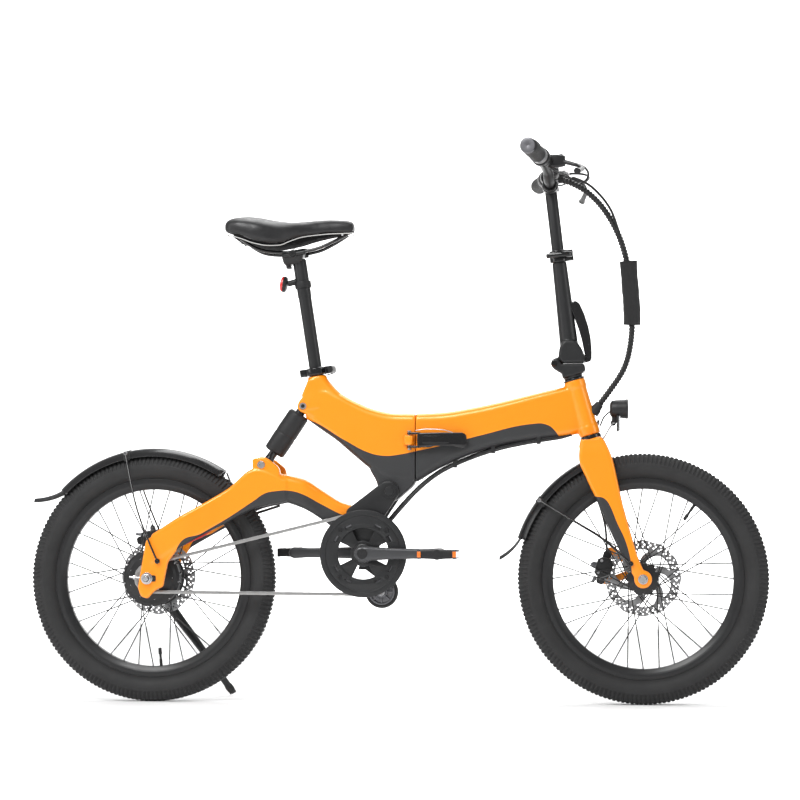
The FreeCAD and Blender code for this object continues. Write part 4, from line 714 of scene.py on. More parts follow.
def lens(name, color, scale=420.0):
    """A moulded reflector or lamp lens with a grid of small prisms."""
    nodes = Nodes(name)
    x, y, z = nodes.axes()
    across = nodes.math("SINE", nodes.math("MULTIPLY", nodes.math("ADD", y, x), scale * 4))
    upright = nodes.math("SINE", nodes.math("MULTIPLY", z, scale * 4))
    prisms = nodes.math("MULTIPLY", across, upright)
    nodes.link(nodes.mix(nodes.ramp(prisms, -1, 1), scaled(color, 0.6), scaled(color, 1.15)),
               nodes.shader.inputs["Base Color"])
    nodes.shader.inputs["Roughness"].default_value = 0.12
    nodes.shader.inputs["Coat Weight"].default_value = 1.0
    nodes.bump(prisms, 0.4, 0.0005)
    return nodes.material


SLEEVE = fabric("neoprene_sleeve", (0.009, 0.009, 0.0095), 1500.0, 0.12)
TYRE = tyre_rubber("tyre_rubber")
SADDLE = leather("saddle_vinyl", (0.017, 0.017, 0.018))
RED_LENS = lens("red_lens", (0.75, 0.02, 0.015))
AMBER_LENS = lens("amber_lens", (1.0, 0.2, 0.01))
CLEAR_LENS = lens("clear_lens", (0.82, 0.84, 0.86))
# Matte black saddle base. On the cover's down-facing faces it is partly the real plastic base and partly painted shade
# under the saddle.
SADDLE_BASE_AND_SHADE = finish("saddle_base_and_shade", (0.008, 0.008, 0.0084), 0.9, grain=700, grain_depth=0.3, specular=0.08)
PIPING = finish("white_piping", (0.5, 0.5, 0.49), 0.4, grain=1500, grain_depth=0.2, mottle=0.05)
PALE_RUBBER = finish("grey_rubber", (0.2, 0.2, 0.205), 0.55, grain=1600, grain_depth=0.35, mottle=0.08)


# ---------------------------------------------------------------- the cable harness

HARNESS = [(352, -22, 1092), (384, -22, 1082), (428, -14, 1046), (462, -6, 994), (483, 0, 936), (491, 0, 878),
           (496, 0, 816), (494, 0, 756), (482, 0, 702), (456, 0, 661), (422, 0, 617)]
HARNESS_RADIUS = 6.7
WRAP_PITCH = 7.0


def wrapped_hose(name, points, node):
    """A cable bundle in spiral wrap: a soft groove runs round it every seven millimetres."""
    def wrap(t, angle, distance):
        phase = (angle / math.tau + distance / WRAP_PITCH) % 1.0
        return 1.0 - 0.27 * math.exp(-((phase - 0.5) / 0.16) ** 2)

    line, measured = smooth_line(points, 60)
    hose = pipe(points, HARNESS_RADIUS, int(measured / 0.75), 20, wrap)
    item = scaled_object(name, hose)
    shade(item.data)
    item.data.materials.append(CABLE)
    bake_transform(item)
    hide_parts(node)
    return item


def make_harness():
    """Three spans, one across each joint the bundle passes, that meet half way along straight legs."""
    first, second = (445, -10, 1020), (469, 0, 681.5)
    upper, centre, lower = HARNESS[:3] + [first], [first] + HARNESS[3:9] + [second], [second] + HARNESS[9:]
    wrapped_hose("harness_upper_wrap", upper, "harness_upper")
    wrapped_hose("harness_middle_wrap", centre, "harness_middle")
    wrapped_hose("harness_lower_wrap", lower, "harness_lower")


# ---------------------------------------------------------------- frame, swingarm, fork

SEAT_LEAN, POST_LEAN = 8.75, 6.55
FRAME_HALF = 26
DROPOUT_FACE = 79.8


def leaning_back(foot, degrees):
    """A placement on a tube that leans towards the rear wheel."""
    return frame_to(foot, (-math.sin(math.radians(degrees)), 0, math.cos(math.radians(degrees))), (0, 1, 0))


SEAT = leaning_back((-168.2, 0, 684), SEAT_LEAN)
POST = leaning_back((365, 0, 736), POST_LEAN)
STEERING = frame_to(HEAD, joints["steering"]["axis"], (0, 1, 0))
UP = (0, 0, 1)
LEFT = (0, 1, 0)


def on(place, low, high, radius, size=0.8, hole=0.0, steps=48):
    """A turned sleeve along a placement's local Z."""
    return moved(drum(radius, low, high, (0, 0, 0), UP, size, steps, hole), place)


def socket_bolt(place, outward_axis, radius, height=3.0, key=None):
    """A round bolt head with a hexagon socket, its face looking along the axis."""
    key = key or radius * 0.55
    steps = 36
    angles = np.linspace(0, math.tau, steps, endpoint=False)
    hexagon = [key * math.cos(math.pi / 6) / math.cos((a % (math.pi / 3)) - math.pi / 6) for a in angles]
    rows = [(0, [radius] * steps), (height - radius * 0.18, [radius] * steps), (height, [radius * 0.86] * steps),
            (height, hexagon), (height * 0.35, hexagon), (height * 0.35, [0.0] * steps)]
    points = [[(*polar(r, a), z) for r, a in zip(radii, angles)] for z, radii in rows]
    points.insert(0, [(0, 0, 0)] * steps)
    return moved(grid(points), frame_to(place, outward_axis))


def washer_face(x, z, y, side, radius, height):
    return socket_bolt((x, side * y, z), (0, side, 0), radius, height)


REAR_LINE = [(-240, 600), (-180, 591), (-106, 549), (-56, 523), (-23, 516), (12, 519), (60, 530)]
FRONT_LINE = [(20, 521), (110, 540), (179, 558), (290, 582), (314, 581), (332, 570), (345, 548), (352, 520)]
ARM_LINE = [(-520, 150), (-470, 180), (-452, 322), (-399, 355), (-350, 384), (-294, 421), (-270, 437), (-246, 442),
            (-222, 443), (-195, 437), (-152, 414), (-105, 391), (-60, 380)]
FORK_LINE = [(380, 431), (420, 430), (440, 423), (449, 409), (460, 382), (487, 313), (490, 296), (494, 240)]

REAR_PAINT = paint("rear_frame_paint", REAR_LINE)
FRONT_PAINT = paint("front_frame_paint", FRONT_LINE)
ARM_PAINT = paint("swingarm_paint", ARM_LINE)
FORK_PAINT = paint("fork_paint", FORK_LINE)


def make_rear_hull():
    half = FRAME_HALF
    hull = loft("X", [
        (42, -half, 461, half, 604, 14), (0, -half, 458, half, 605, 15), (-45, -half, 483, half, 614, 16),
        (-90, 1 - half, 519, half - 1, 633, 16), (-125, 2 - half, 549, half - 2, 652, 16),
        (-155, 4 - half, 570, half - 4, 664, 15), (-190, 8 - half, 595, half - 8, 661, 12)], 64)
    x, z = PIVOT.x, PIVOT.z
    lug = side_plate([[(x - 47, z + 50), (x - 30, z + 22), (x - 22, z - 10), (x - 8, z - 22), (x + 12, z - 20),
                       (41, 457), (41, 492)]], -25, 25, 5, 9)
    sx, sz = SHOCK_TOP.x, SHOCK_TOP.z
    ears = [side_plate([[(sx + 34, sz + 24), (sx + 36, sz - 28), (sx + 4, sz - 16), (sx - 8, sz - 11),
                         (sx - 14, sz - 2), (sx - 9, sz + 12), (sx + 6, sz + 26)]], low, low + 8.5, 2.5, 6)
            for low in (-21, 12.5)]
    tube = on(SEAT, -88, -2, 20)
    lip = on(SEAT, -60, 1.5, 18.5)
    neck = moved(loft("Z", [(-66, -46, -22, 60, 22, 12), (-56, -40, -22, 54, 22, 12), (-44, -34, -21.5, 46, 21.5, 13),
                            (-32, -28, -21, 37, 21, 14), (-20, -23.5, -20.5, 29, 20.5, 15),
                            (-8, -20.5, -20, 22.5, 20, 16),
                            (0.5, -19.4, -19.2, 20, 19.2, 17)], 40), SEAT)
    flare = loft("X", [(-150, -20, 590, 20, 676, 14), (-168, -19, 600, 19, 682, 15), (-187, -17, 606, 17, 668, 12)], 12)
    web = side_plate([[(sx - 5, sz + 20), (sx - 1, sz + 30), (sx + 5, sz + 44), (sx + 10, sz + 58), (sx + 32, sz + 60),
                       (sx + 40, sz + 20)]], -20.5, 20.5, 4, 6)
    skin = melt("rear_hull", [hull, lug, tube, flare, lip, neck, web] + ears, 2.0, 9)
    piece("rear_frame_skin", skin, REAR_PAINT, "rear_frame", ["rear_frame"], 0)
    knuckles = [flat_plate([[(12, 18), (41, 18), (41, 28), (54, 42), (52, 52), (46, 55.5), (38, 54), (24, 40)]],
                           low, low + 34, 2.0, 4) for low in (467, 565)]
    piece("hinge_knuckles_rear", knuckles, REAR_PAINT, "rear_frame")
    catch = flat_plate([[(17, -22), (21, -40), (35, -42), (40, -36), (40, -22)]], 538, 558, 2.0, 3)
    piece("latch_catch", catch, ORANGE_PAINT, "rear_frame")


def make_front_hull():
    half = FRAME_HALF
    hull = loft("X", [
        (43, -half, 461, half, 604, 14), (100, -half, 494, half, 607, 16), (170, 1 - half, 523, half - 1, 618, 16),
        (240, 3 - half, 541, half - 3, 633, 15), (310, 6 - half, 551, half - 6, 650, 14),
        (368, 9 - half, 558, half - 9, 662, 12), (384, 12 - half, 562, half - 12, 664, 11)], 72)
    tube = on(STEERING, -60, 60, 21, 2)
    collar = on(STEERING, 42, 60, 22.5, 2)
    foot = on(STEERING, -60, -40, 22.5, 2)
    skin = melt("front_hull", [hull, tube, collar, foot], 2.0, 7)
    bay = scaled_object("bay", side_plate([[(30, 503), (300, 567), (300, 628), (30, 563)]], -18, 18, 2))
    cut = skin.modifiers.new("bay", "BOOLEAN")
    cut.operation = "DIFFERENCE"
    cut.solver = "EXACT"
    cut.object = bay
    applied(skin)
    bpy.data.objects.remove(bay)
    piece("front_frame_skin", skin, FRONT_PAINT, "front_frame", ["front_frame"], 50)
    knuckle = flat_plate([[(73, 18), (49, 55), (42, 55.5), (34, 48), (36, 40), (44, 28), (44, 18)]], 502, 564, 2.0, 4)
    piece("hinge_knuckle_front", knuckle, FRONT_PAINT, "front_frame")


def make_swingarm():
    yoke = loft("X", [(-70, -36, 322, 36, 407, 9), (-110, -39, 350, 39, 418, 10), (-150, -41, 380, 41, 442, 12),
                      (-192, -54, 406, 54, 468, 14), (-245, -57, 424, 57, 479, 14)], 40)
    parts = [yoke]
    sx, sz = SHOCK_FOOT.x, SHOCK_FOOT.z
    ax, az = REAR.x, REAR.z
    for side in (-1, 1):
        arm = [(x, min(side * a, side * b), low, max(side * a, side * b), high, 7) for x, a, b, low, high in (
            (-225, 34, 58, 420, 467), (-290, 38, 60, 406, 490), (-350, 46, 64, 376, 446),
            (-400, 56, 72, 350, 416), (-450, 64, 79, 322, 388), (-506, 67, 79, 288, 352))]
        parts.append(loft("X", arm, 48))
        low, high = sorted((side * 38.5, side * 57.5))
        parts.append(side_plate([[(sx - 16, sz - 60), (sx + 44, sz - 60), (sx + 38, sz - 6), (sx + 14, sz + 13),
                                  (sx + 2, sz + 18), (sx - 12, sz + 13), (sx - 18, sz)]], low, high, 3, 8))
        low, high = sorted((side * 68, side * 78))
        parts.append(side_plate([[(ax - 3, az + 80), (ax - 14, az + 15), (ax - 20, az - 19), (ax - 13, az - 38),
                                  (ax + 2, az - 43), (ax + 12, az - 30), (ax + 22, az - 22), (ax + 34, az - 18),
                                  (ax + 44, az + 34), (ax + 74, az + 74), (ax + 46, az + 108)]], low, high, 2.5, 5))
    skin = melt("swingarm_skin", parts, 2.0, 6)
    piece("swingarm_skin", skin, ARM_PAINT, "swingarm", ["swingarm"], 0)
    px, pz = PIVOT.x, PIVOT.z
    ears = []
    for side in (-1, 1):
        low, high = sorted((side * 27.5, side * 40.5))
        ears.append(side_plate([[(px - 92, pz - 40), (px - 24, pz + 12), (px - 12, pz + 21), (px + 6, pz + 21),
                                 (px + 18, pz + 11), (px + 20, pz - 6), (px - 12, pz - 54),
                                 (CRANK.x + 20, CRANK.z - 4), (CRANK.x - 24, CRANK.z - 2)]], low, high, 3, 7))
    shell = on(frame_to(CRANK, LEFT), -34, 34, 22, 2)
    piece("swingarm_ears", ears + [shell], SATIN_TUBE, "swingarm")
    bolts = []
    for side in (-1, 1):
        bolts.append(on(frame_to((px, 0, pz), (0, side, 0)), 40, 44.5, 15, 1.5))
        bolts.append(on(frame_to((px, 0, pz), (0, side, 0)), 44, 46.5, 9.5, 1.0))
    piece("pivot_caps", bolts, SATIN_TUBE, "rear_frame")
    heads = [washer_face(sx, sz, 57, side, 8.2, 4.5) for side in (-1, 1)]
    heads.append(washer_face(SHOCK_FOOT.x, SHOCK_FOOT.z, 57, 1, 4, 4))
    piece("shock_foot_bolts", heads, SILVER, "swingarm")
    tops = [washer_face(SHOCK_TOP.x, SHOCK_TOP.z, 20.5, side, 7.6, 3.5) for side in (-1, 1)]
    piece("shock_top_bolts", tops, SILVER, "rear_frame")


def make_fork():
    crown = side_plate([[(386, 543), (383, 530), (440, 530), (441, 541), (429, 555.5)]], -52, 52, 6, 5)
    bridge = on(STEERING, -86, -68.5, 24, 2)
    parts = [crown, bridge]
    for side in (-1, 1):
        blade = [(z, low, min(side * a, side * b), high, max(side * a, side * b), 6) for z, low, high, a, b in (
            (548, 387, 437, 36, 52), (510, 384, 453, 36, 56), (466, 400, 463, 36, 56), (420, 422, 473, 38, 57),
            (350, 452, 492, 45, 60), (300, 476, 507, 52, 63), (260, 499, 526, 52, 62))]
        parts.append(loft("Z", blade, 56))
        parts.append(on(frame_to(FRONT, (0, side, 0)), 51.5, 62, 18.5, 2.5))
    skin = melt("fork_skin", parts, 2.0, 6)
    piece("fork_skin", skin, FORK_PAINT, "fork", ["fork"], 0)
    steerer = on(STEERING, -70, 88, 14.2, 1)
    race = on(STEERING, -69.6, -68.3, 22.5, 0.4)
    piece("steerer", [steerer, race], SATIN_TUBE, "fork")
    tabs = [side_plate([[(474, 312), (452, 326), (440, 322), (440, 312), (452, 308), (478, 290)]], 58.2, 62.2, 1, 3),
            side_plate([[(494, 262), (440, 246), (428, 248), (428, 258), (440, 260), (494, 280)]], 58.2, 62.2, 1, 3)]
    piece("caliper_tabs", tabs, ORANGE_PAINT, "fork")


make_harness()
make_rear_hull()
make_front_hull()
make_swingarm()
make_fork()


# ---------------------------------------------------------------- wheels

def tyre_outline(count):
    """The tyre's section from bead to bead as (across, radius), with its outward directions."""
    def arc(a, via, b, steps):
        (ax, ay), (bx, by), (cx, cy) = a, via, b
        d = 2 * (ax * (by - cy) + bx * (cy - ay) + cx * (ay - by))
        ux = ((ax * ax + ay * ay) * (by - cy) + (bx * bx + by * by) * (cy - ay) + (cx * cx + cy * cy) * (ay - by)) / d
        uy = ((ax * ax + ay * ay) * (cx - bx) + (bx * bx + by * by) * (ax - cx) + (cx * cx + cy * cy) * (bx - ax)) / d
        radius = math.hypot(ax - ux, ay - uy)
        first, last = math.atan2(ay - uy, ax - ux), math.atan2(cy - uy, cx - ux)
        return [(ux + radius * math.cos(first + (last - first) * k / steps),
                 uy + radius * math.sin(first + (last - first) * k / steps)) for k in range(steps + 1)]

    flank = arc((15.2, 209.4), (28.3, 234), (12.5, 259.2), 60)
    crown = [(12.5 * math.cos(math.pi * k / 20), 259.2 + 0.8 * math.sin(math.pi * k / 20)) for k in range(1, 20)]
    line = np.array(flank + crown + [(-x, y) for x, y in reversed(flank)])
    distance = np.concatenate([[0], np.cumsum(np.linalg.norm(np.diff(line, axis=0), axis=1))])
    wanted = np.linspace(0, distance[-1], count)
    section = np.stack([np.interp(wanted, distance, line[:, k]) for k in range(2)], axis=1)
    tangent = np.gradient(section, axis=0)
    tangent /= np.linalg.norm(tangent, axis=1)[:, None]
    return section, np.stack([tangent[:, 1], -tangent[:, 0]], axis=1)


def soft_step(value, edge, width):
    return np.clip((value - edge) / width + 0.5, 0, 1)


def make_tyre(name, axle, body, node):
    """Street tyre: blocks on the shoulders, fine grooves between them, ribs on the sidewall."""
    count, around, blocks = 66, 2040, 170
    section, out = tyre_outline(count)
    across, radius = section[:, 0], section[:, 1]
    angle = np.linspace(0, math.tau, around, endpoint=False)
    width = np.abs(across)
    high = radius > 239.5
    pitch = np.mod(angle * blocks / math.tau, 1.0)[:, None]
    half = np.mod(angle * blocks / math.tau + 0.5, 1.0)[:, None]

    def blocky(phase, share):
        return soft_step(phase, (1 - share) / 2, 0.16) * (1 - soft_step(phase, (1 + share) / 2, 0.16))

    centre = (width < 6.5)[None, :] * (1 - 0.9 * blocky(pitch, 0.3))
    middle_row = ((width >= 8) & (width < 15.5) & high)[None, :] * blocky(half, 0.62)
    shoulder = ((width >= 17) & (radius > 243))[None, :] * blocky(pitch, 0.58)
    wing = (high & (radius <= 243))[None, :] * blocky(pitch, 0.3)
    raised = np.maximum.reduce([centre, middle_row, shoulder, wing])
    tread = high[None, :]
    depth = np.where(tread, -2.2 * (1 - raised), 0.0)
    for ring, size in ((238.2, 0.5), (233.4, 0.28), (231.8, 0.28), (218.5, 0.3), (216.9, 0.3), (213.2, 0.7)):
        depth = depth + np.where(tread, 0, size * np.exp(-((radius - ring) / 0.5) ** 2))
    offset = np.where(tread, depth, depth - 0.55)
    offset = np.broadcast_to(offset, (around, count))
    y = across[None, :] + out[None, :, 0] * offset
    r = radius[None, :] + out[None, :, 1] * offset
    points = np.stack([axle.x + r * np.cos(angle)[:, None], y, axle.z + r * np.sin(angle)[:, None]], axis=2)
    closing = np.stack([np.stack([axle.x + 206 * np.cos(angle), 0 * angle + side, axle.z + 206 * np.sin(angle)], axis=1)
                        for side in (-11, 11)], axis=1)
    piece(name, grid(np.concatenate([points, closing], axis=1), along=True), TYRE, body, [node], 55)


def in_wheel_plane(angle):
    return Vector((math.cos(angle), 0, math.sin(angle)))


def ring_section(name, axle, profile, material, body, node=None, size=0.6, steps=144):
    piece(name, lathe(profile, axle, LEFT, size, steps), material, body, [node] if node else [], 40)


SPOKES = 36
SPOKE_END = 188


def spoke_places(axle, flange_radius, flange_left, flange_right, cross):
    """Ends of the spokes, as the CAD has them: half leading, half trailing."""
    for number in range(SPOKES):
        side = 1 if number % 2 == 0 else -1
        flange = flange_left if side > 0 else flange_right
        leading = 1 if (number // 2) % 2 == 0 else -1
        at_rim = math.radians(10 * number)
        at_hub = at_rim + math.radians(cross) * leading
        yield (Vector((axle.x + flange_radius * math.cos(at_hub), flange + 2.2 * leading * side,
                       axle.z + flange_radius * math.sin(at_hub))),
               Vector((axle.x + SPOKE_END * math.cos(at_rim), side * (3.2 + 1.4 * leading),
                       axle.z + SPOKE_END * math.sin(at_rim))))


def make_rim(name, axle, body, node, spokes, valve_angle):
    profile = [(15, 208.6), (14, 209), (13, 208.6), (12.6, 204), (9, 200.5), (-9, 200.5), (-12.6, 204), (-13, 208.6),
               (-14, 209), (-15, 208.6), (-15, 199), (-13.6, 195), (-9.5, 187.2), (-6, 186), (6, 186), (9.5, 187.2),
               (13.6, 195), (15, 199)]
    ring_section(name, axle, profile, BLACK_ALLOY, body, node, 0.5, 192)
    nipples, heads = [], []
    for start, end in spokes:
        away = (end - start).normalized()
        nipples.append(drum(1.75, -11, 0.2, end, away, 0.4, 12, 1.02))
        nipples.append(drum(2.3, -1.2, 1.4, end, away, 0.4, 12, 1.02))
        heads.append(drum(1.9, -1.1, 1.6, start, away, 0.5, 12, 1.02))
    piece(name + "_nipples", nipples, STEEL, body)
    wires = [straight(start, end, 1.25, 8) for start, end in spokes]
    piece(name + "_spoke_wires", wires, CABLE, body, [body.replace("_wheel", "_spokes")])
    piece(name + "_spoke_heads", heads, STEEL, body)
    turn_to = math.radians(valve_angle)
    inward = Vector((-math.cos(turn_to), 0, -math.sin(turn_to)))
    root = axle - inward * 187
    stem = [lathe([(-4, 0.4), (-4, 3.4), (14, 3.2), (16, 2.6), (26, 2.6), (26, 0.4)], root, inward, 0.5, 24)]
    cap = [lathe([(25, 0.3), (25, 3.9), (37, 3.5), (38.5, 2.4), (38.5, 0.3)], root, inward, 0.6, 24)]
    piece(name + "_valve", stem, RUBBER, body)
    piece(name + "_valve_cap", cap, PLASTIC, body)


def make_rotor(name, axle, offset, body, node):
    """A wavy drilled disc on six curved arms."""
    edge = [polar(78.9 + 1.05 * math.cos(12 * math.tau * k / 360), math.tau * k / 360) for k in range(360)]
    centre = [polar(15, math.tau * k / 60) for k in range(60)]
    windows = []
    for number in range(6):
        base = math.tau * number / 6
        window = []
        for t in np.linspace(0, 1, 9):
            window.append(polar(25 + 33 * t, base + math.radians(-19 + 26 * t * t)))
        for t in np.linspace(0, 1, 9):
            window.append(polar(58.5 + 2.2 * math.sin(math.pi * t), base + math.radians(9 + 32 * t)))
        for t in np.linspace(1, 0, 9):
            window.append(polar(25 + 33 * t, base + math.radians(18 + 26 * t * t)))
        windows.append(rounded(window, 2.0, 2))
    holes = []
    for number in range(36):
        base = math.tau * number / 36
        for radius, size, lag in ((65.8, 1.9, 0.0), (70.4, 2.1, 0.055), (75.0, 1.7, 0.0)):
            holes.append(circle(*polar(radius, base + lag), size, 12))
    bolts = [circle(*polar(22, math.tau * (k + 0.5) / 6), 2.6, 14) for k in range(6)]
    disc = plate([edge, centre] + windows + holes + bolts, -0.9, 0.9, 0.25,
                 frame_to((axle.x, offset, axle.z), LEFT))
    piece(name, disc, ROTOR_STEEL, body, [node], 40)
    carrier = [lathe([(-1, 15.5), (-1, 27), (3.4, 25.5), (3.4, 15.5)], (axle.x, offset, axle.z), LEFT, 0.6, 48)]
    place = frame_to((axle.x, offset, axle.z), LEFT)
    for k in range(6):
        x, y = polar(22, math.tau * (k + 0.5) / 6)
        carrier.append(moved(socket_bolt((x, y, 3.2), UP, 3.4, 2.4), place))
    piece(name + "_bolts", carrier, BLACK_ALLOY, body)


def make_front_hub():
    flange = [(-34, 5.2), (-46, 5.2), (-46, 12), (-36, 14), (-34.6, 33), (-30.4, 33), (-28, 19), (-20, 16), (0, 15),
              (12, 16), (19, 19), (21.4, 33), (24.6, 33), (26, 21), (40, 20), (40, 14.8), (46, 14.8), (46, 5.2)]
    ring_section("front_hub_shell", FRONT, flange, BLACK_ALLOY, "front_wheel", "front_hub", 1.2, 96)
    caps = [lathe([(46, 5.3), (46, 11), (46.9, 10.4), (46.9, 5.3)], FRONT, (0, side, 0), 0.3) for side in (-1, 1)]
    piece("front_hub_seals", caps, STEEL, "front_wheel")
    for side in (-1, 1):
        start = (FRONT.x, side * 62.4, FRONT.z)
        away = (0, side, 0)
        piece(f"front_axle_washer_{side + 1}", lathe([(0, 6), (0, 10.4), (1.6, 10.1), (1.6, 6)], start, away,
                                                     0.4), SILVER, "fork")
    faces = [socket_bolt((FRONT.x, side * 63.6, FRONT.z), (0, side, 0), 7.6, 5.6, 3.6) for side in (-1, 1)]
    piece("front_axle_heads", faces, SILVER, "fork")


def make_motor():
    profile = [(-56, 6.2), (-56, 16), (-45, 17), (-44, 25), (-39, 30), (-35, 48), (-30, 54), (-29.2, 60), (-25, 60),
               (-24.4, 56.4), (24.4, 56.4), (25, 60), (29.2, 60), (30, 54), (35, 46), (38.5, 27), (48.6, 24),
               (49, 14.8), (55, 14.8), (55, 6.2)]
    ring_section("motor_shell", REAR, profile, BLACK_ALLOY, "rear_wheel", "hub_motor", 1.4, 120)
    screws = []
    for side, y, radius in ((-1, 33.4, 43.5), (1, 33.2, 42)):
        for number in range(9):
            turn_to = math.tau * number / 9
            place = (REAR.x + radius * math.cos(turn_to), side * y, REAR.z + radius * math.sin(turn_to))
            screws.append(socket_bolt(place, (0, side, 0), 3.0, 2.2))
    piece("motor_screws", screws, STEEL, "rear_wheel")
    ribs = []
    for number in range(24):
        turn_to = math.tau * number / 24
        direction = in_wheel_plane(turn_to)
        ribs.append(straight(REAR + direction * 56.2 + Vector((0, -20, 0)),
                             REAR + direction * 56.2 + Vector((0, 20, 0)), 1.2, 8))
    piece("motor_ribs", ribs, BLACK_ALLOY, "rear_wheel")


def make_wheels():
    make_tyre("front_tyre_skin", FRONT, "front_wheel", "front_tyre")
    make_tyre("rear_tyre_skin", REAR, "rear_wheel", "rear_tyre")
    front = list(spoke_places(FRONT, 31, 23, -32, 62))
    rear = list(spoke_places(REAR, 58, 27, -27, 22))
    make_rim("front_rim_profile", FRONT, "front_wheel", "front_rim", front, 55)
    make_rim("rear_rim_profile", REAR, "rear_wheel", "rear_rim", rear, 275)
    make_rotor("front_rotor_disc", FRONT, 41, "front_wheel", "front_rotor")
    make_rotor("rear_rotor_disc", REAR, 50, "rear_wheel", "rear_rotor")
    make_front_hub()
    make_motor()


make_wheels()


# ---------------------------------------------------------------- drive

CHAIN_Y = -52
BIG, SMALL = 84.97, 28.54
CRANK_REACH = 162


def toothed(teeth, pitch, inner, windows=()):
    """Outlines of a sprocket: its teeth, its bore and its windows."""
    outer = []
    for number in range(teeth):
        base = math.tau * number / teeth
        for share, radius in ((-0.5, -3.3), (-0.38, -3.1), (-0.26, -1.2), (-0.14, 2.0), (-0.06, 2.9), (0.06, 2.9),
                              (0.14, 2.0), (0.26, -1.2), (0.38, -3.1)):
            angle = base + share * math.tau / teeth
            outer.append(polar(pitch + radius, angle))
    return [outer, circle(0, 0, inner, 60)] + list(windows)


def sector(inner, outer, low, high, corner):
    """A window between two radii and two angles in degrees."""
    line = [polar(outer, math.radians(a)) for a in np.linspace(low, high, 14)]
    line += [polar(inner, math.radians(a)) for a in np.linspace(high, low, 10)]
    return rounded(line, corner, 3)


def make_chainring():
    """Toothed ring, a broad guard outside it and the four-armed spider that carries them."""
    place = frame_to((CRANK.x, CHAIN_Y, CRANK.z), (0, -1, 0))
    ring = plate(toothed(42, BIG, 62), -1.1, 1.1, 0.4, place)
    piece("chainring_teeth", ring, GREY_ALLOY, "crankset", ["chainring"], 30)
    notches = [sector(59, 66, 90 * number + low, 90 * number + low + 13,
                      2.5) for number in range(4) for low in (23, 54)]
    rim = [plate([circle(0, 0, 91, 120), circle(0, 0, 79, 120)], 4.8, 7.9, 1.2, place)]
    guard = rim + [plate([circle(0, 0, 79.6, 120), circle(0, 0, 53, 90)] + notches, 4.4, 6.6, 0.7, place)]
    piece("chain_guard", guard, GUARD, "crankset", (), 40)
    windows = [sector(27, 55, 90 * number - 26, 90 * number + 26, 7) for number in range(4)]
    tabs_out = []
    for number in range(4):
        turn_by = math.radians(90 * number + 45)
        tab = rounded([(60, -13), (74, -9.5), (79, 0), (74, 9.5), (60, 13)], 5, 3)
        tabs_out.append([(x * math.cos(turn_by) - y * math.sin(turn_by), x * math.sin(turn_by) + y * math.cos(turn_by))
                         for x, y in tab])
    spider = [plate([circle(0, 0, 63, 90), circle(0, 0, 9, 40)] + windows, 1.6, 4.4, 1.0, place)]
    spider += [plate([tab], 1.6, 4.4, 1.0, place) for tab in tabs_out]
    spider.append(moved(turned(rounded([(3, 9), (3, 22), (10, 20.5), (11, 17), (11, 9)], 1.2)), place))
    piece("spider", spider, BLACK_ALLOY, "crankset")
    bolts = []
    for number in range(4):
        turn_by = math.radians(90 * number + 45)
        centre = place @ Vector((*polar(69, turn_by), 6.4))
        bolts.append(socket_bolt(centre, (0, -1, 0), 4.6, 2.0, 2.4))
    piece("guard_bolts", bolts, BLACK_ALLOY, "crankset")


def make_crank(name, side, node):
    """A forged arm: deep at the axle, slim in the middle, round at the pedal eye."""
    stations = [(17, 57.5, -1, 78, 1, 1), (14, 58, -10, 78.2, 10, 6), (6, 57.5, -15.5, 79, 15.5, 8),
                (-6, 57.5, -16.2, 79, 16.2, 8), (-22, 60.5, -14.4, 78.2, 14.4, 7), (-50, 63.2, -12.4, 77.4, 12.4, 6),
                (-90, 64, -11, 76.8, 11, 5.5), (-130, 64.2, -10.4, 77, 10.4, 5.5), (-150, 63.8, -11.6, 78, 11.6, 5.5),
                (-162, 63.8, -12.2, 78, 12.2, 6), (-170, 64, -9, 78, 9, 5), (-174.5, 66, -1, 76, 1, 1)]
    arm = loft("X", stations, 90)
    matrix = shift(*CRANK) @ (Matrix.Identity(4) if side > 0 else turn(180, "Z"))
    arm = moved(arm, matrix)
    piece(name, arm, CRANK_GREY, "crankset", [node], 40)
    cap = [lathe([(77.8, 0.4), (77.8, 11.4), (80.4, 10.6), (80.4, 0.4)], (CRANK.x, 0, CRANK.z), (0, side, 0), 0.8)]
    piece(name + "_cap", cap, PLASTIC, "crankset")
    eye = (CRANK.x - side * CRANK_REACH, side * 78, CRANK.z)
    pin = [lathe([(-3, 0.3), (-3, 8.2), (1.2, 8.2), (2.4, 6.2), (14, 6.2), (14, 0.3)], eye, (0, side, 0), 0.6, 32)]
    pin.append(straight(eye, (eye[0], eye[1] + side * 94, eye[2]), 4.4))
    piece(name + "_pedal_pin", pin, STEEL, "crankset")
    if side > 0:
        piece("crank_axle", straight((CRANK.x, -60, CRANK.z), (CRANK.x, 76, CRANK.z), 8.4, 32), STEEL, "crankset")


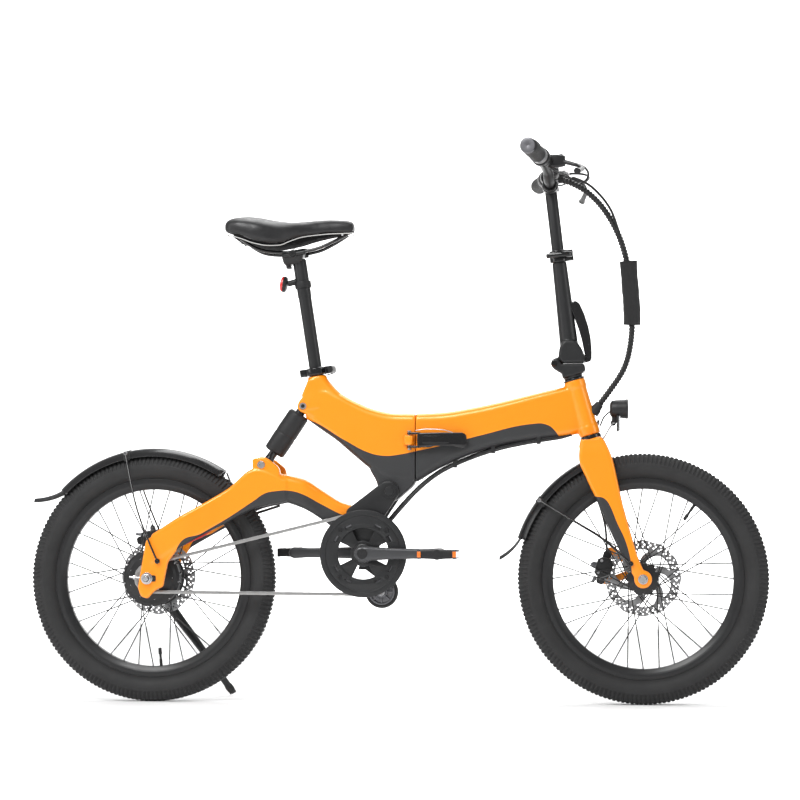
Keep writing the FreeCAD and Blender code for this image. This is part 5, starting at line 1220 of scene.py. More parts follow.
def make_pedal(name, side, node):
    """A platform pedal: a toothed cage round a ribbed barrel, with reflectors front and back."""
    x, z = CRANK.x - side * CRANK_REACH, CRANK.z
    inner, outer = 84, 172
    parts = []
    for way in (-1, 1):
        rail = [(inner, -9.2), (outer, -9.2), (outer, 9.2)]
        for number in range(11):
            centre = outer - 4 - number * (outer - inner - 8) / 10
            rail += [(centre + 2.6, 9.2), (centre + 1.4, 6.9), (centre - 1.4, 6.9), (centre - 2.6, 9.2)]
        rail.append((inner, 9.2))
        plate_place = frame_to((x + way * 35, 0, z), (way, 0, 0), (0, 0, 1))
        y_way = 1 if (plate_place.to_3x3() @ Vector((1, 0, 0))).y * side > 0 else -1
        outline = [(y_way * a, b) for a, b in rail]
        parts.append(plate([rounded(outline, 1.0, 2)], -2.2, 4.6, 0.7, plate_place))
    for low, high in ((inner, inner + 9), (outer - 9, outer)):
        parts.append(loft("X", [(x - 34, *sorted_pair(side, low, high, z - 8.5, z + 8.5), 3),
                                (x, *sorted_pair(side, low, high, z - 9.5, z + 9.5), 3),
                                (x + 34, *sorted_pair(side, low, high, z - 8.5, z + 8.5), 3)], 12))
    for place in (inner + 32, outer - 32):
        parts.append(loft("X", [(x - 34, *sorted_pair(side, place - 3, place + 3, z - 5, z + 5), 2),
                                (x + 34, *sorted_pair(side, place - 3, place + 3, z - 5, z + 5), 2)], 4))
    barrel = [(inner, 4.6), (inner, 11), (inner + 8, 11.4)]
    for number in range(6):
        barrel += [(inner + 14 + number * 10, 10.2), (inner + 16 + number * 10, 9.2), (inner + 18 + number * 10, 9.2),
                   (inner + 20 + number * 10, 10.2)]
    barrel += [(outer - 8, 11.4), (outer, 10.4), (outer, 4.6)]
    parts.append(lathe(barrel, (x, 0, z), (0, side, 0), 0.7, 40))
    parts.append(drum(9.8, outer - 4, outer + 0.6, (x, 0, z), (0, side, 0), 0.8, 30))
    piece(name + "_cage", parts, PLASTIC, name, [node], 35)
    strips = []
    for way in (-1, 1):
        strips.append(loft("X", [(x + way * 36 - 3.6, *sorted_pair(side, outer - 1, outer + 1.6, z - 6, z + 6), 1),
                                 (x + way * 36 + 3.6, *sorted_pair(side, outer - 1, outer + 1.6, z - 6, z + 6), 1)], 4))
        for low in (inner + 12, outer - 46):
            strips.append(loft("X", [(x + way * 38.2 - 1.3, *sorted_pair(side, low, low + 34, z - 5.6, z + 4.6), 1.2),
                                     (x + way * 38.2 + 1.5, *sorted_pair(side, low, low + 34, z - 5.6, z + 4.6), 1.2)],
                               4))
    piece(name + "_reflectors", strips, AMBER_LENS, name, (), 35)


def sorted_pair(side, a, b, low, high):
    """Sizes for a loft section between two distances from the middle plane."""
    first, second = sorted((side * a, side * b))
    return first, low, second, high


def chain_path(count):
    """Places and directions at equal steps round both sprockets."""
    gap = CRANK - REAR
    distance = math.hypot(gap.x, gap.z)
    slope = math.atan2(gap.z, gap.x)
    spread = math.acos((BIG - SMALL) / distance)
    run = math.sqrt(distance ** 2 - (BIG - SMALL) ** 2)
    wrap_big = 2 * (math.pi - spread)
    wrap_small = 2 * spread
    total = BIG * wrap_big + SMALL * wrap_small + 2 * run
    upper, lower = slope + math.pi - spread, slope + math.pi + spread

    def spot(centre, radius, angle):
        return np.array((centre.x + radius * math.cos(angle), centre.z + radius * math.sin(angle)))

    places = []
    for number in range(count):
        s = total * number / count
        if s < BIG * wrap_big:
            places.append(spot(CRANK, BIG, lower + s / BIG))
            continue
        s -= BIG * wrap_big
        if s < run:
            places.append(spot(CRANK, BIG, upper) * (1 - s / run) + spot(REAR, SMALL, upper) * s / run)
            continue
        s -= run
        if s < SMALL * wrap_small:
            places.append(spot(REAR, SMALL, upper + s / SMALL))
            continue
        s -= SMALL * wrap_small
        places.append(spot(REAR, SMALL, lower) * (1 - s / run) + spot(CRANK, BIG, lower) * s / run)
    return places, total


def make_chain():
    """Real links: waisted outer and inner plates, rollers and pin heads, one every half inch."""
    count = 2 * round(chain_path(4)[1] / 25.4)
    places, total = chain_path(count)
    pitch = total / count

    def link(low, high, height):
        line = []
        for number in range(20):
            angle = math.tau * number / 20
            squeeze = 1 - 0.26 * math.exp(-((math.cos(angle) * 1.6) ** 2))
            line.append((pitch / 2 + (pitch / 2 + height) * math.cos(angle),
                         height * math.sin(angle) * squeeze * 1.18))
        return plate([line], low, high, 0.25)

    outer = [link(2.3, 3.3, 4.0), link(-3.3, -2.3, 4.0)]
    inner = [link(1.3, 2.2, 3.8), link(-2.2, -1.3, 3.8)]
    roller = [drum(3.7, -1.25, 1.25, (0, 0, 0), UP, 0.3, 14), drum(1.6, -3.75, 3.75, (0, 0, 0), UP, 0.25, 10)]
    outer, inner, roller = joined(outer), joined(inner), joined(roller)
    plates, pins = [], []
    for number, here in enumerate(places):
        there = places[(number + 1) % count]
        along = Vector((there[0] - here[0], 0, there[1] - here[1])).normalized()
        across = Vector((0, -1, 0))
        up = across.cross(along)
        matrix = Matrix((along, up, across)).transposed().to_4x4()
        matrix.translation = Vector((here[0], CHAIN_Y, here[1]))
        plates.append(copied(outer if number % 2 else inner, matrix))
        pins.append(copied(roller, matrix))
    piece("chain_links", plates, CHAIN_STEEL, "swingarm", ["chain"], 30)
    piece("chain_rollers", pins, STEEL, "swingarm", (), 30)


def make_freewheel():
    place = frame_to((REAR.x, CHAIN_Y, REAR.z), (0, -1, 0))
    ring = plate(toothed(14, SMALL, 17.1), -1.1, 1.1, 0.35, place)
    body = lathe(hoop(45, 50.6, 17.1, 22), REAR, (0, -1, 0), 0.6)
    face = lathe([(53.2, 17.1), (53.2, 21.5), (56.4, 20.5), (56.4, 17.1)], REAR, (0, -1, 0), 0.6)
    piece("freewheel_sprocket", [ring, body, face], CHAIN_STEEL, "freewheel", ["freewheel"], 30)


def make_caster():
    """The trolley wheel: a spoked hub with a soft tyre, and its bolt."""
    tyre = [(-9, 27.5), (-10.2, 30), (-8, 33.6), (0, 35), (8, 33.6), (10.2, 30), (9, 27.5)]
    piece("caster_tyre", lathe(tyre, CASTER, LEFT, 1.6, 72), RUBBER, "caster", ["caster_wheel"], 40)
    hub = [lathe(hoop(-11, 11, 5.2, 11.5), CASTER, LEFT, 0.8),
           lathe(hoop(-8.6, 8.6, 23.6, 27.9), CASTER, LEFT, 0.8),
           lathe(hoop(-1.6, 1.6, 11, 24), CASTER, LEFT, 0.4)]
    for number in range(8):
        turn_to = math.tau * number / 8
        direction = in_wheel_plane(turn_to)
        hub.append(loft_bar(CASTER + direction * 10.5, CASTER + direction * 24.4, 2.6, 16))
    piece("caster_hub", hub, GREY_ALLOY, "caster", (), 40)
    bolts = [socket_bolt((CASTER.x, -26.2, CASTER.z), (0, -1, 0), 8.2, 3.4, 3.4),
             socket_bolt((CASTER.x, 6.2, CASTER.z), (0, 1, 0), 8.2, 3.4, 3.4)]
    piece("caster_bolts", bolts, STEEL, "swingarm")


def loft_bar(start, end, thick, wide):
    """A flat bar between two points, wide along Y."""
    start, end = Vector(start), Vector(end)
    place = frame_to(start, end - start, (0, 1, 0))
    outline = rounded([(-thick / 2, -wide / 2), (thick / 2, -wide / 2), (thick / 2, wide / 2), (-thick / 2, wide / 2)],
                      0.6, 2)
    x_is_y = abs((place.to_3x3() @ Vector((1, 0, 0))).y) > 0.5
    if x_is_y:
        outline = [(b, a) for a, b in outline]
    return plate([outline], 0, (end - start).length, 0.3, place)


def make_kickstand():
    """A forged leg from its hub, with a knee, and a rubber foot."""
    foot = Vector((-372, 158, 8))
    line = [(STAND.x, 92, STAND.z), (STAND.x + 8, 96, STAND.z - 14), (STAND.x + 40, 114, STAND.z - 60),
            (-410, 138, 66), (-380, 153.5, 20), tuple(foot)]
    leg = pipe(line, 7.4, 60, 20, lambda t, a, d: (1.75 - 0.6 * min(t * 1.6, 1)) * (1 - 0.12 * abs(math.sin(a))))
    boot = pipe([(-384, 151.5, 26), (-376, 155.6, 14), tuple(foot), (-371.4, 158.3, 6.4)], 8.6, 24, 20,
                lambda t, a, d: 0.86 + 0.14 * math.sin(math.pi * min(t * 1.2, 1)))
    hub = lathe(hoop(84, 100, 5.1, 13), (STAND.x, 0, STAND.z), LEFT, 1.4)
    skin = melt("kickstand_leg", [leg, hub], 1.6, 5)
    piece("kickstand_leg", skin, BLACK_ALLOY, "kickstand", ["kickstand"], 0)
    piece("kickstand_boot", boot, RUBBER, "kickstand")
    piece("kickstand_bolt", [socket_bolt((STAND.x, 100, STAND.z), (0, 1, 0), 7.6, 4)], STEEL, "swingarm")


GUARD = finish("chain_guard_alloy", (0.02, 0.0205, 0.0215), 0.38, 0.2, 0.1, 0.2, 900, 0.08, 0.1)
CRANK_GREY = finish("crank_alloy", (0.062, 0.063, 0.066), 0.32, 0.35, 0.12, 0.2, 900, 0.08, 0.1)
make_chainring()
make_crank("crank_right", -1, "crank_arm_right")
make_crank("crank_left", 1, "crank_arm_left")
make_pedal("pedal_right", -1, "pedal_right")
make_pedal("pedal_left", 1, "pedal_left")
make_chain()
make_freewheel()
make_caster()
make_kickstand()


# ---------------------------------------------------------------- mudguards, calipers, stays

def polar_point(axle, radius, degrees, y=0.0):
    return Vector((axle.x + radius * math.cos(math.radians(degrees)), y,
                   axle.z + radius * math.sin(math.radians(degrees))))


def guard_section(grow=0.0, half=30.0, count=15):
    """The mudguard's channel as (y, radius) round its closed section, with rolled edges."""
    outer = [(y, 274 + grow - 17 * abs(y / 30) ** 2.6) for y in np.linspace(-half, half, count)]
    inner = [(y * 0.96, r - 2.2 - 2 * grow + (0.7 if abs(y) > half * 0.93 else 0)) for y, r in reversed(outer)]
    return outer + inner


def swept(axle, section, first, last, steps, taper=None):
    rows = []
    for number in range(steps + 1):
        t = number / steps
        width = taper(t) if taper else 1.0
        rows.append([polar_point(axle, r, first + (last - first) * t, y * width) for y, r in section])
    return grid(rows, caps=True)


def make_mudguard(name, axle, body, node, first, sweep, stay, strap, tip, bracket):
    last = first + sweep - 3

    def ends(t):
        edge = min(t, 1 - t) * sweep / 4.0
        return 1.0 if edge > 1 else 0.86 + 0.14 * math.sqrt(max(1 - (1 - edge) ** 2, 0))

    piece(name + "_blade", swept(axle, guard_section(), first, last, 90, ends), FENDER, body, [node], 50)
    root = polar_point(axle, 268, last - 4)
    lead = polar_point(axle, 271.5, last + 4)
    rows = []
    for t in np.linspace(0, 1, 10):
        centre = root * (1 - t) ** 2 + lead * 2 * t * (1 - t) + Vector(tip) * t ** 2
        half = 24 * (1 - 0.4 * t) * (1 if t < 0.95 else 0.8)
        top = [(half * share, -7.5 * share ** 2) for share in (-1, -0.6, -0.25, 0.25, 0.6, 1)]
        rows.append([centre + Vector((0, y, dz)) for y, dz in top + [(y, dz - 1.7) for y, dz in reversed(top)]])
    piece(name + "_flap", grid(rows, caps=True), FLAP, body, (), 50)
    wires = []
    for side in (-1, 1):
        wires.append(pipe([(x, side * y, z) for x, y, z in stay], 1.9, 40, 12))
        x, y, z = stay[-1]
        wires.append(lathe(hoop(-2.2, 2.2, 0.4, 5.4), (x, side * y, z), (0, side, 0), 0.6, 24))
    piece(name + "_stays", wires, GLOSS, body)
    band = swept(axle, guard_section(1.3, 31), strap - 1.5, strap + 1.5, 4)
    nuts = [socket_bolt(polar_point(axle, 268.5, strap, side * 30.6), (0, side, 0), 4.4, 2.8) for side in (-1, 1)]
    piece(name + "_strap", [band], PLASTIC, body, (), 50)
    piece(name + "_strap_bolts", nuts, STEEL, body)
    piece(name + "_bracket", [loft_bar(a, b, 2.6, 16) for a, b in zip(bracket, bracket[1:])], BLACK_ALLOY, body, (), 40)


def make_caliper(name, place, swing, body, node, cable):
    """A cable disc caliper: two rounded halves over the rotor, an arm, a barrel adjuster and bolts."""
    matrix = shift(*place) @ turn(swing, "Y")
    halves = []
    for low, high in ((-17, -2.7), (2.7, 17)):
        halves.append(side_plate([[(-21, -12), (-14, -17), (12, -17), (21, -10), (21, 10), (13, 17),
                                   (-15, 17), (-21, 11)]],
                                 low, high, 2.6, 4))
    halves.append(side_plate([[(-18, 11.5), (18, 11.5), (14, 17), (-14, 17)]], -4, 4, 1, 1))
    halves.append(side_plate([[(-36, -6), (-30, -9), (30, -9), (36, -6), (36, 6), (30, 9), (-30, 9), (-36, 6)]],
                             9.2, 16.2, 1.4, 3))
    halves.append(lathe([(16, 0.4), (16, 13.5), (18.6, 12.4), (18.6, 0.4)], (2, 0, -1), LEFT, 1.0, 40))
    piece(name + "_body", moved(joined(halves), matrix), BLACK_ALLOY, body, [node], 35)
    details = [socket_bolt((x, 16.2, 0), LEFT, 4.8, 4.0) for x in (-29, 29)]
    details += [socket_bolt((x, -17, z), (0, -1, 0), 3.2, 2.0) for x, z in ((-12, 9), (13, 8))]
    details.append(socket_bolt((2, 18.6, -1), LEFT, 4.2, 1.6))
    piece(name + "_bolts", moved(joined(details), matrix), STEEL, body)
    arm = [side_plate([[(-4, -8), (6, -7), (9, 4), (6, 26), (0, 30), (-5, 26), (-6, 4)]], 18.7, 21.7, 0.8, 3)]
    arm.append(lathe([(0, 1.6), (0, 3.6), (13, 3.6), (15, 2.6), (15, 1.6)], (-22, 14, 12), (-1, 0, 0.25), 0.5, 20))
    piece(name + "_arm", moved(joined(arm), matrix), GREY_ALLOY, body, (), 35)
    piece(name + "_cable", pipe(cable, 2.4, 60, 12), CABLE, body)


REAR_CAL = (-529.6, 50, 342.7)
make_mudguard("rear_mudguard", REAR, "swingarm", "rear_mudguard", 56, 84,
              [(-573, 30, 526), (-551, 62, 440), (-521, 82.5, 358), (-492, 83, 296)], 102.2, (-773, 0, 428),
              [(-360, 0, 482), (-352, 0, 462), (-330, 0, 440)])
make_mudguard("front_mudguard", FRONT, "fork", "front_mudguard", 112, 53,
              [(300, 30, 423), (380, 58, 375), (440, 66, 340), (490, 67, 292)], 142.7, (217, 0, 307),
              [(402, 0, 508), (405, 0, 524), (410, 0, 534)])
make_caliper("rear_brake", REAR_CAL, -10, "swingarm", "rear_caliper",
             [(-511, 64, 357), (-500, 62, 372), (-484, 54, 372), (-462, 50, 366), (-448, 47, 364)])
make_caliper("front_brake", (434, 41, 282), -75, "fork", "front_caliper",
             [(440, 55, 306), (440, 50, 340), (436, 34, 380), (420, 33, 430), (402, 33, 480), (404, 32, 520),
              (420, 14, 560), (424, 4, 590)])


# ---------------------------------------------------------------- axle nuts, cables and small frame parts

def make_rear_end():
    nuts = []
    for side in (-1, 1):
        start = (REAR.x, side * DROPOUT_FACE, REAR.z)
        nuts.append(lathe([(-1.6, 6.2), (-1.6, 12.4), (0.2, 12.1), (0.2, 6.2)], start, (0, side, 0), 0.4))
        hexagon = [polar(10.6, math.tau * k / 6) for k in range(6)]
        nuts.append(plate([rounded(hexagon, 1.0, 2), circle(0, 0, 6.1, 30)], 0.2, 8.2, 1.2,
                          frame_to(start, (0, side, 0))))
        nuts.append(lathe([(0, 0.3), (0, 5.9), (10.4, 5.5), (11.6, 4.6), (11.6, 0.3)], start, (0, side, 0), 0.5))
    nuts.append(straight((REAR.x, -80, REAR.z), (REAR.x, 80, REAR.z), 5.9, 24))
    nuts.append(straight((SHOCK_FOOT.x, -58, SHOCK_FOOT.z), (SHOCK_FOOT.x, 58, SHOCK_FOOT.z), 5.0, 20))
    piece("rear_axle_nuts", nuts, SILVER, "swingarm", ["swingarm_bolts"], 30)
    spacers = [lathe(hoop(low, high, 6.1, 10.8), REAR, LEFT, 0.6) for low, high in ((-67.8, -56.6), (56.2, 67.8))]
    spacers += [lathe(hoop(low, high, 5.1, 8.8), SHOCK_FOOT, LEFT, 0.6) for low, high in ((-36, -14), (14, 36))]
    slots = [side_plate([rounded([(REAR.x - 9, REAR.z - 6.4), (REAR.x + 19, REAR.z - 6.4), (REAR.x + 19, REAR.z + 6.4),
                                  (REAR.x - 9, REAR.z + 6.4)], 4, 4)], low, low + 1.4, 0.3) for low in (-79.9, 78.5)]
    piece("dropout_slots", slots, BLACK_ALLOY, "swingarm")
    piece("rear_spacers", spacers, BLACK_ALLOY, "swingarm")
    screws = []
    for side in (-1, 1):
        start = Vector((REAR.x - 4, side * 73, REAR.z))
        screws.append(straight(start, start + Vector((-34, 0, 3)), 2.2, 14))
        screws.append(drum(4.6, 21, 26, start, (-34, 0, 3), 0.6, 6))
    piece("chain_tensioners", screws, SILVER, "swingarm", (), 30)
    hose = [(-250, 24, 412), (-300, 30, 396), (-350, 36, 384), (-400, 44, 377), (-448, 47, 364), (-484, 46, 346)]
    piece("swingarm_hose_jacket", pipe(hose, 2.9, 80, 14), CABLE, "swingarm", ["swingarm_hose"])
    wire = [(-372, -52, 372), (-392, -62, 352), (-425, -68, 338), (-458, -70, 322), (-480, -66, 300), (-497, -60, 282)]
    piece("motor_lead", pipe(wire, 2.6, 60, 12), RED_CABLE, "swingarm")
    tab = side_plate([[(-296, 488), (-284, 488), (-280, 504), (-288, 512), (-297, 508)]], -57, -53, 1.2, 3)
    piece("guide_tab", tab, ORANGE_PAINT, "swingarm")


def make_under_cables():
    """The corrugated conduit and thin cables that run under the frame and behind the pivot."""
    def ribbed(t, angle, distance):
        return 1.0 - 0.17 * (0.5 + 0.5 * math.cos(distance * math.tau / 3.2))

    line = [(368, -5, 562), (348, -7, 555), (318, -8, 551), (262, -8, 542), (206, -8, 529.5),
            (150, -8, 510), (98, -8, 487),
            (62, -8, 461), (36, -14, 436), (12, -19, 409), (-12, -18.5, 381), (-34, -15, 352)]
    conduit = pipe(line, 5.8, 520, 16, ribbed)
    seconds = []
    for shift_y, drop in ((7.5, -1.5), (-6.0, -3.0)):
        seconds.append(pipe([(x - 1, y + shift_y, z + drop) for x, y, z in line], 2.3, 160, 12))
    item = scaled_object("frame_conduit", joined([conduit] + seconds))
    shade(item.data)
    item.data.materials.append(CABLE)
    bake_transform(item)
    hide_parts("frame_cables")
    clips = []
    for x, z in ((300, 548), (205, 529), (125, 499)):
        clips.append(loft("X", [(x - 4, -17, z - 8, 3, z + 8, 3), (x + 4, -17, z - 8, 3, z + 8, 3)], 4))
        clips.append(straight((x, -7, z + 4), (x, -7, z + 12), 2.4, 12))
    piece("cable_clips", clips, PLASTIC, "front_frame", (), 40)


def make_frame_latch():
    """A long lever with a stepped lower edge, two hooked arms, its pin and a safety spring."""
    x = 31
    blade = [(x + 17, 533), (x + 17, 563), (x + 60, 564), (x + 113, 563.6), (x + 120, 558), (x + 120.6, 538),
             (x + 116, 532), (x + 108, 531), (x + 90, 536), (x + 52, 536), (x + 44, 533)]
    plate_part = side_plate([rounded(blade, 5, 4)], -43.3, -37, 2.2)
    groove = side_plate([rounded(hoop(x + 28, x + 84, 541, 557), 3, 3)], -44, -42.6, 0.5)
    arms = [flat_plate([rounded([(x - 1, -29), (x - 6, -36), (x, -41), (x + 20, -44), (x + 26, -41),
                                 (x + 20, -36)], 3, 3)],
                       low, low + 4.4, 1.2) for low in (532, 560)]
    piece("frame_latch_blade", [plate_part, groove] + arms, GLOSS, "frame_latch", ["frame_latch_lever"], 40)
    pin = [drum(2.6, 529.5, 566.5, (x, -34, 0), UP, 0.5, 20), drum(4.4, 565.5, 568.2, (x, -34, 0), UP, 0.8, 24),
           drum(4.4, 527.8, 530.5, (x, -34, 0), UP, 0.8, 24)]
    piece("frame_latch_pin", pin, STEEL, "frame_latch")
    spring = pipe([(x + 14, -38, 568), (x + 26, -40, 571), (x + 52, -42, 571), (x + 80, -43, 568.5),
                   (x + 92, -43, 563)],
                  0.9, 50, 8)
    piece("frame_latch_spring", spring, STEEL, "frame_latch")


def make_shock():
    """The rubber boot in two parts on the shock's can, its eyes and the shaft."""
    direction = SHOCK_TOP - SHOCK_FOOT
    top = direction.length
    place = frame_to(SHOCK_FOOT, direction, (0, 1, 0))
    boot = [(top - 116, 11), (top - 117, 19), (top - 113, 22.8), (top - 74, 23.4), (top - 73, 22.6), (top - 70, 22.6),
            (top - 69, 23.4), (top - 23, 22.9), (top - 18, 19.5), (top - 18, 11)]
    piece("shock_boot", moved(turned(rounded(boot, 1.6, 4), 72), place), BOOT, "shock_upper", ["shock_body"], 45)
    neck = [spun([(top - 30, 0.3), (top - 30, 11), (top - 8, 9.5), (top - 8, 0.3)], place, 0.8, 40),
            lathe(hoop(-12, 12, 4.2, 11.8), SHOCK_TOP, LEFT, 1.0, 48)]
    piece("shock_top_eye", neck, BLACK_ALLOY, "shock_upper")
    shaft = [spun([(9, 0.3), (9, 10.2), (16, 10.6), (22, 9.6), (26, 9.4), (82, 9.4), (82, 0.3)], place, 0.6),
             lathe(hoop(-12, 12, 6.6, 12), SHOCK_FOOT, LEFT, 1.0, 48)]
    piece("shock_shaft", shaft, GLOSS, "shock_lower", ["shock_rod"], 40)


BOOT = finish("boot_rubber", (0.014, 0.014, 0.0148), 0.46, 0, 0.05, 0.3, 1300, 0.35, 0.12)
make_rear_end()
make_under_cables()
make_frame_latch()
make_shock()


# ---------------------------------------------------------------- handlepost

STEM_HEIGHT = 347


def make_handlepost():
    block = side_plate([rounded([(346, 707), (347, 697), (350, 676), (392, 688), (398, 693), (396.5, 707)], 4,
                                3)], -23, 23, 3)
    ears = [side_plate([rounded([(350, 686), (350, 706), (339, 716), (328, 715), (325, 706), (330, 699)], 4, 3)],
                       low, low + 12, 2.2) for low in (-23, 11)]
    collar = on(STEERING, 63, 75, 19.5, 1.6)
    skin = melt("post_base", [block, collar] + ears, 1.6, 5)
    piece("handlepost_base_skin", skin, SATIN_TUBE, "fork", ["handlepost_base"], 0)
    pin = [socket_bolt((POST_HINGE.x, side * 23, POST_HINGE.z), (0, side, 0), 6.4, 3.2) for side in (-1, 1)]
    piece("post_hinge_bolts", pin, GLOSS, "fork")
    foot = side_plate([rounded([(349, 709), (396, 709), (397.5, 722), (389, 742), (378, 756), (352, 756), (344, 742),
                                (341, 722)], 5, 3)],
                      -22, 22, 4)
    tongue = side_plate([rounded([(354, 710), (354, 726), (329, 718), (325, 709), (331, 701), (338, 702)], 4,
                                 3)], -10, 10, 2)
    shaft = spun([(0, 0.4), (0, 19.5), (30, 18.8), (120, 16.6), (186, 15.2), (186, 0.4)], POST, 1.0, 56)
    lugs = [side_plate([rounded([(392, 711), (404, 710.5), (410.5, 717), (404, 723.5), (392, 724)], 4, 3)],
                       low, low + 3, 0.9)
            for low in (-15, 12)]
    lower = melt("post_lower", [foot, tongue, shaft] + lugs, 1.6, 5)
    piece("handlepost_lower_skin", lower, SATIN_TUBE, "handlepost", ["handlepost_lower"], 0)
    bore = [spun([(186.2, 12.9), (186.2, 18.6), (188, 19.2), (209, 19.2), (210.6, 18.4), (210.6, 12.9)], POST, 0.7, 56)]
    lug = [moved(flat_plate([rounded([(12, side * 2), (31, side * 2), (31, side * 9.4), (12, side * 11)], 2.6, 3)], 187,
                            210, 1.4), POST) for side in (-1, 1)]
    piece("post_collar", bore + lug, GLOSS, "handlepost", ["post_clamp"], 40)
    bolt = moved(joined([straight((24, -22, 198.4), (24, 17, 198.4), 2.4, 16),
                         lathe([(0, 0.3), (0, 7.2), (5, 6.6), (5, 0.3)], (24, 14, 198.4), (0, 1, 0), 0.7, 24)]), POST)
    piece("post_skewer", bolt, SILVER, "handlepost")
    blade = pipe([(24, -19, 198.4), (27, -25, 198.4), (20, -32, 198.8), (-4, -31, 199.4), (-24, -25, 200)], 4.2, 40, 16,
                 lambda t, a, d: (1.15 - 0.25 * t) * (1 + 0.35 * abs(math.sin(a))))
    hub = drum(7.4, 192.6, 204.2, (24, -19, 0), UP, 1.0, 30)
    piece("post_lever_blade", moved(joined([blade, hub]), POST), GLOSS, "post_lever", ["post_clamp_lever"],
          40)
    upper = spun(hoop(132, 334, 0.3, 12.7), POST, 0.6, 56)
    barrel = moved(joined([lathe([(-23, 11.2), (-23, 15.4), (-20, 16.6), (20, 16.6), (23, 15.4), (23, 11.2)],
                                 (0, 0, STEM_HEIGHT), LEFT, 0.8, 48)]), POST)
    face = [moved(socket_bolt((14.8, y, STEM_HEIGHT + z), (1, 0, 0), 3.6, 3.0),
                  POST) for y in (-15, 15) for z in (-7, 7)]
    piece("handlepost_upper_tube", [upper, barrel], SATIN_TUBE, "bars", ["handlepost_upper"], 40)
    piece("stem_bolts", face, STEEL, "bars")
    latch = [(398.5, 717), (401, 711.5), (407, 711.5), (411, 717), (411, 738), (409, 762), (404.5, 785), (396, 812),
             (386, 834), (378, 840), (368, 837), (366, 826), (374, 806), (383, 782), (390, 758), (394.5, 735)]
    piece("handlepost_latch_lever", side_plate([rounded(latch, 3, 3)], -11, 11, 2.6), GLOSS, "handlepost_latch",
          ["handlepost_latch"], 40)
    piece("latch_bolt", [socket_bolt((404, side * 15, 717), (0, side, 0), 5, 2.4) for side in (-1, 1)], GLOSS,
          "handlepost")
    cap = on(STEERING, 59.4, 63, 22.8, 1.0)
    low = on(STEERING, -68.2, -60.4, 22.4, 1.0)
    piece("headset_rings", [cap, low], GLOSS, "front_frame", ["headset_cups"], 40)


# ---------------------------------------------------------------- bar, grips, levers, display

STEM = POST @ Vector((0, 0, STEM_HEIGHT))
BAR = [Vector((STEM.x, 0, STEM.z)), Vector((STEM.x, 52, STEM.z)), Vector((STEM.x - 4, 96, STEM.z + 38)),
       Vector((STEM.x - 34, 296, STEM.z + 42))]
RUN = (BAR[2] - BAR[3]).normalized()


def on_bar(side, distance):
    """A matrix on the straight outer bar, its local Z pointing inwards."""
    point = BAR[3] + RUN * distance
    return frame_to((point.x, side * point.y, point.z), (RUN.x, side * RUN.y, RUN.z), (0, 0, 1))


def grip_shell(side, length):
    """A ribbed grip with a palm rest that widens towards its end."""
    rows = []
    steps, around = 110, 56
    for number in range(steps + 1):
        t = number / steps
        row = []
        for k in range(around):
            a = math.tau * k / around
            spot = Vector((math.cos(a), math.sin(a), 0))
            back = max(0.0, -spot.x)
            wing = 7.5 * back ** 3 * math.exp(-((t - 0.22) / 0.28) ** 2)
            ribs = 0.35 * (0.5 + 0.5 * math.cos(length * t * math.tau / 4.0)) * (0.15 < t < 0.9)
            radius = 15.9 - ribs + 0.8 * math.sin(math.pi * t)
            ends = 1 - 0.12 * max(0, (0.03 - t) / 0.03) - 0.1 * max(0, (t - 0.97) / 0.03)
            row.append(spot * (radius * ends + wing * 0.6) + Vector((0, 0, -3 + length * t)))
        rows.append(row)
    return moved(grid(rows, caps=True), on_bar(side, 0))


def make_bar():
    route = [Vector((p.x, -p.y, p.z)) for p in reversed(BAR[1:])] + BAR[1:]
    bar = pipe([tuple(p) for p in route], 11, 160, 32)
    piece("grip_right", grip_shell(-1, 104), RUBBER, "bars", ["grips"], 60)
    piece("grip_left", grip_shell(1, 128), RUBBER, "bars", (), 60)
    piece("handlebar_tube", bar, SATIN_TUBE, "bars", ["handlebar"])
    rings = []
    for side, start in ((-1, 101.2), (1, 125.2)):
        rings.append(spun(hoop(start - 5, start + 0.6, 11.3, 17.6), on_bar(side, 0)))
        rings.append(spun([(-3.4, 0.3), (-3.4, 14), (-1.8, 16.4), (0.4, 16.4), (0.4, 0.3)], on_bar(side, 0)))
    piece("grip_rings", rings, GREY_ALLOY, "bars", (), 40)
    throttle = spun([(103.4, 11.3), (103.4, 16.4), (106, 17.2), (124, 16.6), (126.6, 15.6), (126.6, 11.3)],
                    on_bar(-1, 0), 0.8, 60)
    piece("throttle_sleeve", throttle, PALE_RUBBER, "throttle", ["throttle"], 40)
    housing = spun([(127.4, 11.3), (127.4, 18.4), (131, 19.0), (144, 19.0), (148, 17), (148, 11.3)],
                   on_bar(-1, 0), 1.0, 60)
    gear = spun([(127, 11.3), (127, 17), (130, 18), (146, 18), (149, 16), (149, 11.3)], on_bar(1, 0), 1.0, 60)
    piece("control_housings", [housing, gear], PLASTIC, "bars", (), 40)


def lever_shape(t, angle, distance):
    """Slim in the middle, with a ball at the end, and oval in section."""
    ball = 0.18 * max(0, (t - 0.93) / 0.07)
    return (0.95 - 0.2 * math.sin(math.pi * t) + ball) * (1 + 0.3 * abs(math.cos(angle)))


